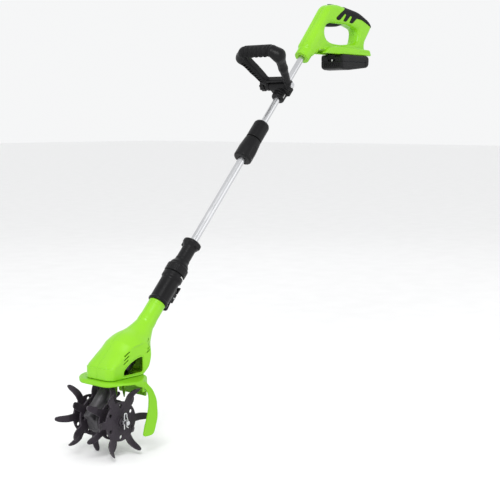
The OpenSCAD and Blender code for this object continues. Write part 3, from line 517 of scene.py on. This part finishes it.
def battery_upper(P):
    body = smax(battery_field(P), SPLIT_Z + 0.2 - P[:, 2], 0.6)
    body = cut(body, bar(P, (120, -12.5, SPLIT_Z + 1), (140, 12.5, 30), 1.0), 0.7)
    rail = np.minimum(bar(P, (144, -19.5, 12), (241.5, 19.5, 23.4), 0.8), bar(P, (144, -23.5, 19.5),
                                                                          (241.5, 23.5, 23.4), 0.8))
    return smin(body, rail, 0.8)


def latch_field(P):
    body = bar(P, (132.6, -12, SPLIT_Z + 5.5), (139.5, 12, 14.2), 1.4)
    for z in (5.0, 8.0, 11.0):
        body = cut(body, rod(P, 1, (132.1, 0, z), 1.1, -30, 30), 0.4)
    return body


cast("battery_base_shell", at_handle(), (130, -37, -28), (262, 37, -3), 1.1, battery_lower, "battery",
     "battery_plastic", ("battery_base",))
cast("battery_cover_shell", at_handle(), (130, -37, -5), (262, 37, 24), 1.1, battery_upper, "battery",
     "battery_plastic", ("battery_cover",))
cast("battery_latch_key", at_handle(), (131, -13, 0), (141, 13, 15), 0.6, latch_field, "battery_latch",
     "black_plastic", nodes=("battery_latch",))

# ------------------------------------------------------------- assist handle
BAR_X, BAR_HALF, GRIP_HALF = -120.0, 13.0, 42.0
LEG = rounded([(-113, 72), (-12, 41), (-14, 27.5), (-40, 29), (-100, 46)], 14)
LEG_PANEL = rounded([(-103, 64.5), (-22, 38.5), (-24, 32), (-46, 33.5), (-96, 49.5)], 4)


def loop_field(P):
    A = P.copy()
    A[:, 1] = abs(P[:, 1])
    ear = rod(A, 1, (0, 0, 0), 13, 25.6, 37.4, 2.2)
    leg = smin(pill(A, (-8, 32, 0), (-60, 47, 0), 8.5, 11), pill(A, (-60, 47, 0), (-103, 59, 0), 11, 14), 6)
    body = smin(ear, leg, 5)
    # the corner swells into the oval bar
    oval = A * np.array([1, 1, 0.74])
    body = smin(body, pill(oval, (-103, 59, 0), (-119, 46, 0), 13.0, 12.6), 12)
    body = smin(body, rod(A, 1, (BAR_X, 0, 0), 9.6, -1, 50), 1)
    body = smin(body, bar(P, (-25, -29, -8.5), (-18, 29, 8.5), 3), 5)
    # the far leg is a framed, ribbed panel
    thick = abs(P[:, 2])
    slab = meet(flat(P[:, 0], P[:, 1], LEG), thick - 12.0, 6)
    body = smin(body, slab, 6)
    ribs = abs(((P[:, 0] * 0.957 - P[:, 1] * 0.29 + 300) % 8.0) - 4.0) - 1.3
    panel = smax(meet(flat(P[:, 0], P[:, 1], LEG_PANEL), 9.4 - thick, 0), -ribs, 0.8)
    body = cut(body, panel, 0.8)
    # knuckles of the clamp stay clear
    body = cut(body, bar(P, (-17, -25.4, -20), (20, 25.4, 20)), 0.5)
    return cut(body, rod(P, 1, (0, 0, 0), 4.1, -60, 60), 0.5)


def sleeve_field(P):
    x, y, z = P[:, 0] - BAR_X, P[:, 1], P[:, 2]
    r = np.hypot(x, z * BAR_HALF / 18.0)
    facing = np.clip(0.5 - 0.5 * (0.1 * x + 0.99 * z) / np.maximum(np.hypot(x, z), 1), 0, 1)
    groove = 3.0 * (0.5 - 0.5 * np.cos(2 * math.pi * y / 14.0)) * facing ** 2
    fine = 0.2 * np.cos(2 * math.pi * y / 2.8) * (1 - facing) ** 2
    body = meet(0.85 * (r - BAR_HALF + groove + fine), abs(y) - GRIP_HALF, 2.5)
    return cut(body, rod(P, 1, (BAR_X, 0, 0), 9.0, -60, 60), 0.5)


def clamp_field(P):
    x, y, z = P.T
    body = rod(P, 2, (0, 0, 0), 17.1, -31, 31, 4)
    body = smin(body, rod(P, 1, (-PIVOT_X, 0, 0), 13, -25, 25, 2), 3)
    body = smin(body, bar(P, (-PIVOT_X, -25, -13), (11.1, 25, 13), 3.5), 3)
    for at in (-22.0, 22.0):
        body = cut(body, np.hypot(np.hypot(x, y) - 17.4, z - at) - 1.1, 0.6)
    body = cut(body, np.hypot(x, y) - 8.45, 0.7)
    body = cut(body, rod(P, 1, (-PIVOT_X, 0, 0), 4.1, -60, 60), 0.4)
    for s in (-20, 20):
        for t in (-7, 7):
            body = cut(body, rod(P, 0, (0, s, t), 3.5, 8.1, 60), 0.6)
    return body


def knob_field(P):
    x, y, z = P.T
    r, a = np.hypot(x, z), np.arctan2(z, x)
    grip = meet(r - 12.9 - 1.0 * np.cos(8 * a), abs(y - 49.2) - 7.2, 2.4)
    grip = cut(grip, rod(P, 1, (0, 0, 0), 7.5, 55.6, 70), 0.6)
    body = smin(grip, rod(P, 1, (0, 0, 0), 9, 38.1, 46), 1.2)
    return cut(body, rod(P, 1, (0, 0, 0), 4.1, 30, 52.4), 0.4)


PIVOT = at_pole(CLAMP_U, -PIVOT_X)
cast("assist_frame", PIVOT, (-136, -76, -20), (14, 76, 20), 1.0, loop_field, "assist_handle", "black_plastic",
     nodes=("assist_loop",))
cast("assist_sleeve", PIVOT, (-134, -46, -19), (-106, 46, 19), 0.85, sleeve_field, "assist_handle", "soft_grip",
     nodes=("assist_grip",))
cast("clamp_shell_front", at_pole(CLAMP_U), (-32, -26, -32), (0, 26, 32), 0.9,
     lambda P: smax(clamp_field(P), P[:, 0] + 0.4, 0.7), "clamp", "black_plastic", nodes=("clamp_front",))
cast("clamp_shell_rear", at_pole(CLAMP_U), (0, -26, -32), (18, 26, 32), 0.9,
     lambda P: smax(clamp_field(P), 0.4 - P[:, 0], 0.7), "clamp", "black_plastic", nodes=("clamp_rear",))
cast("clamp_seam_strip", at_pole(CLAMP_U), (-2, -18, -29), (2, -13, 29), 0.5,
     lambda P: bar(P, (-0.9, -17.6, -27), (0.9, -14, -15), 0.6), "clamp", "light_strip")
cast("clamp_hand_knob", PIVOT, (-15, 37, -15), (15, 57, 15), 0.75, knob_field, "knob", "black_plastic",
     nodes=("clamp_knob",))

# ----------------------------------------------------------- tubes and locks
LOWER_R, BORE_R, UPPER_R, UPPER_IN = 9.3, 8.4, 8.1, 7.2
LOCK_IN = 64.0


def tube(name, u0, u1, r, inner, body, node):
    turned(name, at_pole(u0), [(inner, 0), (r, 0), (r, u1 - u0), (inner, u1 - u0)], 0.4, body, "tube",
           nodes=(node,))


tube("upper_pole_tube", LOCK_U - 116, HANDLE_U + 70, UPPER_R, UPPER_IN, "rear_handle", "upper_tube")
tube("lower_pole_tube", COUPLING_U - 60, LOCK_U + LOCK_IN, LOWER_R, BORE_R, "lower_pole", "lower_tube")


def lock_field(P):
    x, y, z = P.T
    r = np.hypot(x, y)
    slope = r - (23.5 - 3.0 * np.clip((z - 30) / 34, 0, 1))
    body = meet(slope, abs(z - 32) - 32, 4.5)
    for s in (-1, 1):
        window = meet(abs(x) - 8, abs(z - 24) - 15, 6)
        body = cut(body, meet(window, 21.6 - s * y, 0), 0.9)
    body = cut(body, r - 9.35, 0.8)
    body = smin(body, rod(P, 2, (0, 0, 0), 15.8, 50, 92, 0.6), 0.5)
    body = cut(body, rod(P, 2, (0, 0, 0), 11.0, 63, 120), 0.4)
    body = cut(body, r - 9.35, 0.6)
    return cut(body, bar(P, (0, -1.3, -4), (40, 1.3, 26), 0.8), 0.6)


cast("pole_lock_body", at_pole(LOCK_U), (-24, -24, -1), (24, 24, 93), 0.95, lock_field, "lower_pole",
     "black_plastic", nodes=("lock_body",))
# the pale bar in the lock slit is a painted highlight
cast("lock_slit_painted_highlight", at_pole(LOCK_U), (9, -2, 0), (22, 2, 25), 0.5,
     lambda P: bar(P, (10, -0.9, 2), (21.6, 0.9, 24), 0.5), "lower_pole", "light_strip")
turned("pole_lock_collar", at_pole(LOCK_U + LOCK_IN),
       [(8.7, 29.5), (16.5, 29.0), (16.5, 0.6), (20.5, 0.6), (20.5, 47), (17.5, 53), (8.7, 53)], 1.6,
       "lock_collar", "black_plastic", nodes=("lock_collar",), seg=192,
       ripple=lambda a, z: 0.9 * np.clip(np.cos(12 * a) - 0.35, 0, 1) / 0.65
       * np.clip((z - 6) / 3, 0, 1) * np.clip((44 - z) / 3, 0, 1))

# ----------------------------------------------------------- swivel coupling
UPPER_LEN, LOWER_LEN = COUPLING_U - SPLIT_U, SPLIT_U - NECK_U


def coupling_upper_field(P):
    x, y, z = P.T
    r, a = np.hypot(x, y), np.arctan2(y, x)
    knurl = 0.5 * np.clip(np.cos(24 * a), 0, 1) * np.clip((z - 3) / 2, 0, 1) * np.clip((19 - z) / 2, 0, 1)
    body = meet(r - 26.2 + knurl, abs(z - 11.2) - 10.7, 2.5)
    body = smin(body, meet(r - np.interp(z, [20, 28, 34, 38], [23, 22.5, 19, 16.8]), abs(z - 30) - 14, 1), 2)
    body = smin(body, rod(P, 2, (0, 0, 0), 16.5, 8, UPPER_LEN - 2, 1), 3)
    body = smin(body, meet(r - np.interp(z, [77, 88], [16.5, 22.6]), abs(z - 85.5) - 9, 1.6), 2)
    wings = bar(np.stack([x, abs(y), z], 1), (-8, 10, 80), (8, 24.6, 92), 2.5)
    body = smin(body, wings, 2)
    for at in (60.0, 65.0, 70.0):
        body = cut(body, np.hypot(r - 16.9, z - at) - 1.0, 0.6)
    return cut(body, r - 9.35, 0.8)


def coupling_lower_field(P):
    x, y, z = P.T
    r = np.hypot(x, y)
    body = rod(P, 2, (0, 0, 0), 22.6, 0.2, LOWER_LEN - 10, 1.5)
    body = smin(body, rod(P, 2, (0, 0, 0), 24.2, 0.2, 7, 2.0), 1.5)
    body = smin(body, rod(P, 2, (0, 0, 0), 25.2, LOWER_LEN - 15, LOWER_LEN, 2.5), 4)
    # raised saddle that carries the lever, and its two cheeks
    body = smin(body, bar(P, (10, -12.5, 14), (24.8, 12.5, 54), 3), 3)
    cheeks = bar(np.stack([x, abs(y), z], 1), (17, 6.1, 22), (33, 9.9, 46), 1.8)
    body = smin(body, cheeks, 1.2)
    body = cut(body, bar(P, (24.6, -6.0, -4), (60, 6.0, 70)), 0.5)
    body = cut(body, np.hypot(r - 23.4, z - 60) - 1.2, 0.6)
    body = cut(body, rod(P, 1, (28, 0, 34), 2.05, -40, 40), 0.3)
    return cut(body, r - 15.2, 0.6)


def lever_field(P):
    arm = rounded([(25.8, 2), (30, -2), (34, 4), (31.5, 20), (32, 34), (33.5, 62), (30, 66), (28.5, 48),
                   (24.4, 40), (24.4, 28), (27.6, 16)], 3)
    pad = rounded([(28.6, 48), (33.0, 48), (33.9, 66), (29.8, 66)], 1.5)
    body = smin(plate(P, arm, 5.4, 1.3), plate(P, pad, 9, 1.2), 1.5)
    for z in (52.5, 56.0, 59.5, 63.0):
        body = cut(body, rod(P, 1, (34.3, 0, z), 1.0, -30, 30), 0.4)
    return cut(body, rod(P, 1, (28, 0, 34), 2.06, -40, 40), 0.3)


# arc of the painted highlight band on the coupling
def highlight_band_field(P):
    x, y, z = P.T
    r, a = np.hypot(x, y), np.arctan2(y, x)
    return np.maximum(meet(abs(r - 24.4) - 1.6, abs(z) - 1.1, 0.5), (abs(a + 1.25) - 0.34) * 24)


cast("coupling_upper_shell", at_pole(SPLIT_U), (-27, -27, 0), (27, 27, 95), 0.95, coupling_upper_field,
     "lower_pole", "black_plastic", nodes=("coupling_upper",))
cast("coupling_lower_shell", at_pole(NECK_U), (-26, -26, 0), (34, 26, 81), 0.95, coupling_lower_field, "head",
     "black_plastic", nodes=("coupling_lower",))
# the pale arc round the coupling is a painted highlight band
cast("coupling_painted_highlight_band", at_pole(SPLIT_U), (-27, -27, -6), (27, 27, -2), 0.5,
     lambda P: highlight_band_field(P + np.array([0, 0, 4.0])), "head", "light_strip")
cast("coupling_release_lever", at_pole(NECK_U), (23, -10, -3), (35, 10, 67), 0.6, lever_field, "lever",
     "black_plastic", nodes=("coupling_lever",))

# ---------------------------------------------------------------------- head
GUARD_Z = 88.0
FOOT_X, HEAD_X, HEAD_Y = 32.8, 53.0, 46.0
SHOULDER, NECK_0, NECK_1 = off_axle(144.75), off_axle(235.0), off_axle(287.0)
SHOULDER_R, NECK_R, CORNER_R = 54.0, 20.0, 22.0


def head_solid(P):
    """Foot, shoulder and neck, the foot swept on to the shoulder in small steps."""
    S = (P - NECK_1) @ POLE_AXES
    low, high = np.array([FOOT_X, 0, 100.0]), SHOULDER
    body = None
    for t in np.linspace(0, 1, 13):
        q = abs(P - low - t * (high - low))
        side = np.hypot(np.maximum(q[:, 0] - (1 - t) * (HEAD_X - CORNER_R), 0),
                        np.maximum(q[:, 1] - (1 - t) * (HEAD_Y - CORNER_R), 0)) - (1 - t) * CORNER_R
        up = q[:, 2] - (1 - t) * 14
        d = np.hypot(np.maximum(side, 0), np.maximum(up, 0)) + np.minimum(np.maximum(side, up), 0)
        d = d - t * (SHOULDER_R - 0.5)
        body = d if body is None else smin(body, d, 2.5)
    body = body + 0.6
    body = smin(body, pill(P, SHOULDER, NECK_0, SHOULDER_R - 0.5, NECK_R - 0.5, 1.25), 8)
    body = smin(body, rod(S, 2, (0, 0, 0), NECK_R, -56, -0.3, 1.0), 6)
    return smax(body, GUARD_Z + 0.2 - P[:, 2], 1.5)


def head_outer(P):
    """The head with its sides cut back below a rising crease."""
    x, y, z = P.T
    body = head_solid(P)
    wide = abs(y)
    crease = 153 + 0.17 * (x - 41)
    body = cut(body, smax(43.0 - wide, z - crease, 3.0), 1.8)
    S = (P - NECK_1) @ POLE_AXES
    for at in (-5.0, -10.0):
        body = cut(body, np.hypot(np.hypot(S[:, 0], S[:, 1]) - NECK_R - 0.2, S[:, 2] - at) - 0.9, 0.6)
    return body


def slots(P, spots, length, width):
    """Slanted cooling slots through both sides."""
    c, s = math.cos(math.radians(30)), math.sin(math.radians(30))
    out = None
    for x0, z0 in spots:
        dx, dz = P[:, 0] - x0, P[:, 2] - z0
        d = meet(abs(dx * c + dz * s) - length / 2, abs(-dx * s + dz * c) - width / 2, width / 2)
        out = d if out is None else np.minimum(out, d)
    return np.maximum(out, 26 - abs(P[:, 1]))


WINDOW = rounded([(20, 95), (22, 106), (40, 119), (60, 127), (79, 130), (79, 95)], 6)


def head_shell(P):
    x, y, z = P.T
    wide = abs(y)
    outer = head_outer(P)
    body = smax(outer, -3.2 - outer, 0.8)
    S = (P - NECK_1) @ POLE_AXES
    body = cut(body, rod(S, 2, (0, 0, 0), 16, -44, 10), 0.6)
    window = flat(x, z, WINDOW)
    body = cut(body, meet(window, 20 - wide, 0), 1.2)
    frame_groove = meet(abs(window - 3.0) - 0.7, 42.0 - wide, 0)
    body = cut(body, frame_groove, 0.6)
    body = cut(body, slots(P, [(28 + 2 * i, 124 + 8.5 * i) for i in range(3)], 18, 2.6), 0.5)
    body = cut(body, slots(P, [(97 + 2.5 * i, 139 + 7.5 * i) for i in range(4)], 13, 2.4), 0.5)
    body = cut(body, bar(P, (FOOT_X - 30, -28, 80), (FOOT_X + 42, 28, 96), 1), 0.6)
    for sx, sz in ((FOOT_X - 34, GUARD_Z + 10), (FOOT_X + 46, GUARD_Z + 8)):
        body = cut(body, rod(P, 1, (sx, 0, sz), 3.5, 8, 80), 0.6)
    return body


halves("head_shell", at_axle(), (-22, -56, 86), (186, 56, 248), 1.2, head_shell, "head", "green_shell",
       ("head_left", "head_right"))

# --------------------------------------------------------------------- guard
PLAN = rounded([(14, -83.9), (43, -83.9), (91.5, -45), (91.5, 45), (43, 83.9), (14, 83.9), (-8, 71.7), (-32, 40),
                (-32, -40), (-8, -71.7)], 14)
WING = rounded([(10, 110), (13, 82), (46, 70), (57, 52), (56, 24), (38, -38), (70, -38), (83, 0), (80, 40),
                (67, 65), (48, 82), (44, 110)], 10)


def guard_field(P):
    """A shallow hood with a deeper skirt in the middle and a curved wing on each side."""
    x, y, z = P.T
    wide = abs(y)
    hood = meet(flat(x, y, PLAN), z - 87.4, 7)
    wall = abs(hood + 1.3) - 1.25
    wing = meet(flat(x, z, WING), 80.5 - wide, 0)
    skirt = np.minimum(np.maximum(62 - z, 40 - x), smax(smax(38 - z, wide - 43, 5), 80 - x, 1))
    brow = 82.7 - 4.7 * np.clip((-8 - x) / 20, 0, 1)
    keep = smin(np.minimum(skirt, brow - z), smax(wing, 14.0 - x, 3), 2)
    body = smax(wall, keep, 1.0)
    lip = meet(abs(hood + 1.3) - 2.1, abs(keep + 2.0) - 2.0, 1.0)
    body = smin(body, lip, 1.2)
    # the wings carry on below the plan's cut corners
    side = meet(flat(x, z, WING), abs(wide - 82.8) - 1.25, 0.9)
    rim = meet(abs(flat(x, z, WING) + 2) - 2, abs(wide - 82.5) - 1.8, 0.9)
    body = smin(body, smax(smin(side, rim, 1.0), np.maximum(z - 84, 14.0 - x), 1), 1.5)
    for s in (-1, 1):
        strap = pill(P, (52, s * 12.5, 84), (45, s * 12.5, 28), 5.5, 3.0)
        leaf = smax(strap, abs((x - 48.5) + (56 - z) * -0.12) - 1.4, 0.8)
        body = smin(body, leaf, 1.5)
    return cut(body, bar(P, (FOOT_X - 30, -28, 76), (FOOT_X + 10, 28, 96), 2), 0.8)


cast("tine_guard_hood", at_axle(), (-36, -86, -40), (93, 86, 89), 1.05, guard_field, "head", "green_guard",
     ("tine_guard",))

# ------------------------------------------------------------------- gearbox
def gear_field(P):
    x, y, z = P.T
    wide = abs(y)
    rr = np.hypot(x - AXLE_OFFSET, z)
    body = rod(P, 1, (AXLE_OFFSET, 0, 0), 36, -17, 17, 3)
    body = smin(body, rod(P, 2, (0, 0, 0), 14, -26, 100, 2), 6)
    body = smin(body, rod(P, 2, (0, 0, 0), 24, 98.9, 105.6, 1.5), 5)
    body = smin(body, bar(P, (0, -10, 18), (22, 10, 40), 3), 5)
    # flange round the split, radial ribs and a bearing boss on each side
    body = smin(body, meet(rr - 37.5, wide - 3.2, 1.0), 1.5)
    angle = np.arctan2(z, x - AXLE_OFFSET)
    turn = (angle + math.pi / 6) % (math.pi / 3) - math.pi / 6
    rib = meet(abs(rr * np.sin(turn)) - 1.4, wide - 17.6, 0.8)
    body = smin(body, smax(rib, rr - 32, 1), 1.5)
    body = smin(body, meet(rr - 16, wide - 18.4, 1.2), 1.5)
    for a in (-100, -20, 60):
        c, s = AXLE_OFFSET + 34 * math.cos(math.radians(a)), 34 * math.sin(math.radians(a))
        body = smin(body, rod(P, 1, (c, 0, s), 4.6, -17, 17, 1), 1.5)
        body = cut(body, rod(P, 1, (c, 0, s), 3.3, 14, 40), 0.5)
    return cut(body, meet(rr - 11.1, wide - 60, 0), 0.5)


halves("gear_case", at_pole(0), (-26, -20, -40), (76, 20, 107), 1.05, gear_field, "head", "gear_case",
       ("gearbox_left", "gearbox_right"))

# ---------------------------------------------------------------- tine wheels
WHEEL_R, WEB_R, CLAW_R0 = 80.0, 44.0, 56.0
CLAW = rounded([(18, -12.5), (42, -8.5), (62, -8), (74, -6.5), (79.4, -3), (79.6, 3.5), (74, 7), (62, 8),
                (42, 8.5), (18, 12.5)], 5)


def wheel_field(hub0, hub1, reach, phase):
    def field(P):
        x, y, z = P.T
        r = np.hypot(x, z)
        turn = np.arctan2(z, x) + math.radians(phase)
        turn = (turn + math.pi / 6) % (math.pi / 3) - math.pi / 6
        t = np.clip((r - CLAW_R0) / (WHEEL_R - CLAW_R0), 0, 1)
        bent = y - reach * t * (0.25 + 0.75 * t)
        slope = 1 / math.hypot(1, 1.3 * abs(reach) / (WHEEL_R - CLAW_R0))
        blade = flat(r * np.cos(turn), r * np.sin(turn), CLAW)
        claw = meet(blade, (abs(bent) - 2.1 + 0.5 * t) * slope, 0.9)
        web = meet(r - WEB_R, abs(y) - 2.1, 0.9)
        body = smin(claw, web, 1.0)
        # pressed ring and holes between the claws
        body = smin(body, np.hypot(r - 27, abs(y) - 1.6) - 1.3, 1.0)
        hole = (turn + 2 * math.pi) % (math.pi / 3) - math.pi / 6
        body = cut(body, np.hypot(r * np.cos(hole) - 34.5, r * np.sin(hole)) - 4.2, 0.8)
        hub = meet(r - 10, abs(y - (hub0 + hub1) / 2) - (hub1 - hub0) / 2, 1.0)
        body = smin(body, hub, 1.5)
        return cut(body, r - 6.02, 0.4)
    return field


WHEELS = (  # number, place, hub from and to, sideways bend, turn in degrees
    (1, -52, -61, -41, -22, 0),
    (2, -30, -41, -19.5, 9, 30),
    (3, 30, 19.5, 41, -9, 30),
    (4, 52, 41, 61, 22, 0))
for number, at, hub0, hub1, reach, phase in WHEELS:
    side = sorted((hub0 - at, hub1 - at, reach - 3 * np.sign(-reach), reach + 3 * np.sign(reach), -3, 3))
    cast(f"tine_star_{number}", at_axle(at), (-81, side[0] - 1, -81), (81, side[-1] + 1, 81), 1.05,
         wheel_field(hub0 - at, hub1 - at, reach, phase), "axle", "tine_steel", nodes=(f"tine_wheel_{number}",))

CLIP = [(0, 0, -15), (0, 0, -8), (0, 0, 0), (0, 0, 10), (0, 0, 15), (2, 0, 19), (6, 0, 19), (8, 0, 15), (7, 0, 11),
        (9.5, 0, 6), (10.2, 0, 0), (9, 0, -5), (6.5, 0, -8.5), (8, 0, -12), (11, 0, -14)]
for word, at in (("left", -64), ("right", 64)):
    wire(f"wheel_clip_{word}", at_axle(at), CLIP, 1.4, "axle", "bright_steel", nodes=("wheel_clips",))

# --------------------------------------------- CAD nodes that are kept as is
SLOT_OF = {part["node"]: part["material_slot"] for part in frame["record"]["subparts"]}
for name, obj in frame["nodes"].items():
    if obj.hide_render:
        continue
    obj.data.materials.clear()
    obj.data.materials.append(MATS[SLOT_OF[name]])

# ------------------------------------------------------ floor, lights, camera
bpy.ops.mesh.primitive_plane_add(size=60, location=(0, 0, -0.0008))
floor = bpy.context.object
floor.name = "floor"
floor.data.materials.append(surface("pale_floor", (0.90, 0.90, 0.90), (0.93, 0.93, 0.93), (0.7, 0.85), 60, 0.02))


def softbox(name, place, aim, size, power, tint=(1, 1, 1)):
    data = bpy.data.lights.new(name, "AREA")
    data.shape = "RECTANGLE"
    data.size, data.size_y = size
    data.energy = power
    data.color = tint
    lamp = bpy.data.objects.new(name, data)
    lamp.location = place
    lamp.rotation_euler = (Vector(aim) - Vector(place)).to_track_quat("-Z", "Y").to_euler()
    bpy.context.scene.collection.objects.link(lamp)


softbox("key", (-2.4, -1.6, 2.9), (0, 0, 0.5), (1.4, 1.4), 62)
softbox("fill", (1.4, -3.0, 1.3), (0, 0, 0.5), (2.4, 2.0), 12)
softbox("rim", (2.6, 2.2, 2.4), (0, 0, 0.5), (2.0, 2.0), 5)
softbox("front_strip", (-3.0, 1.2, 1.0), (0, 0, 0.5), (0.5, 2.2), 12)

world = bpy.data.worlds.new("studio")
world.use_nodes = True
world.node_tree.nodes["Background"].inputs["Color"].default_value = (0.99, 0.995, 1.0, 1)
world.node_tree.nodes["Background"].inputs["Strength"].default_value = 0.93
bpy.context.scene.world = world
bpy.context.scene.view_settings.view_transform = "Standard"

AZIMUTH, ELEVATION, DISTANCE = math.radians(-50), math.radians(6), 2.8455
TARGET = Vector(AXLE / 1000) + Vector((0.4995, 0, 0.349))
EYE = TARGET + DISTANCE * Vector((math.sin(AZIMUTH) * math.cos(ELEVATION),
                                  -math.cos(AZIMUTH) * math.cos(ELEVATION), math.sin(ELEVATION)))
lens = bpy.data.cameras.new("camera")
lens.sensor_width = 36
lens.lens = 1136.6 / 500 * 36
camera = bpy.data.objects.new("camera", lens)
camera.location = EYE
camera.rotation_euler = (TARGET - EYE).to_track_quat("-Z", "Y").to_euler()
bpy.context.scene.collection.objects.link(camera)
bpy.context.scene.camera = camera
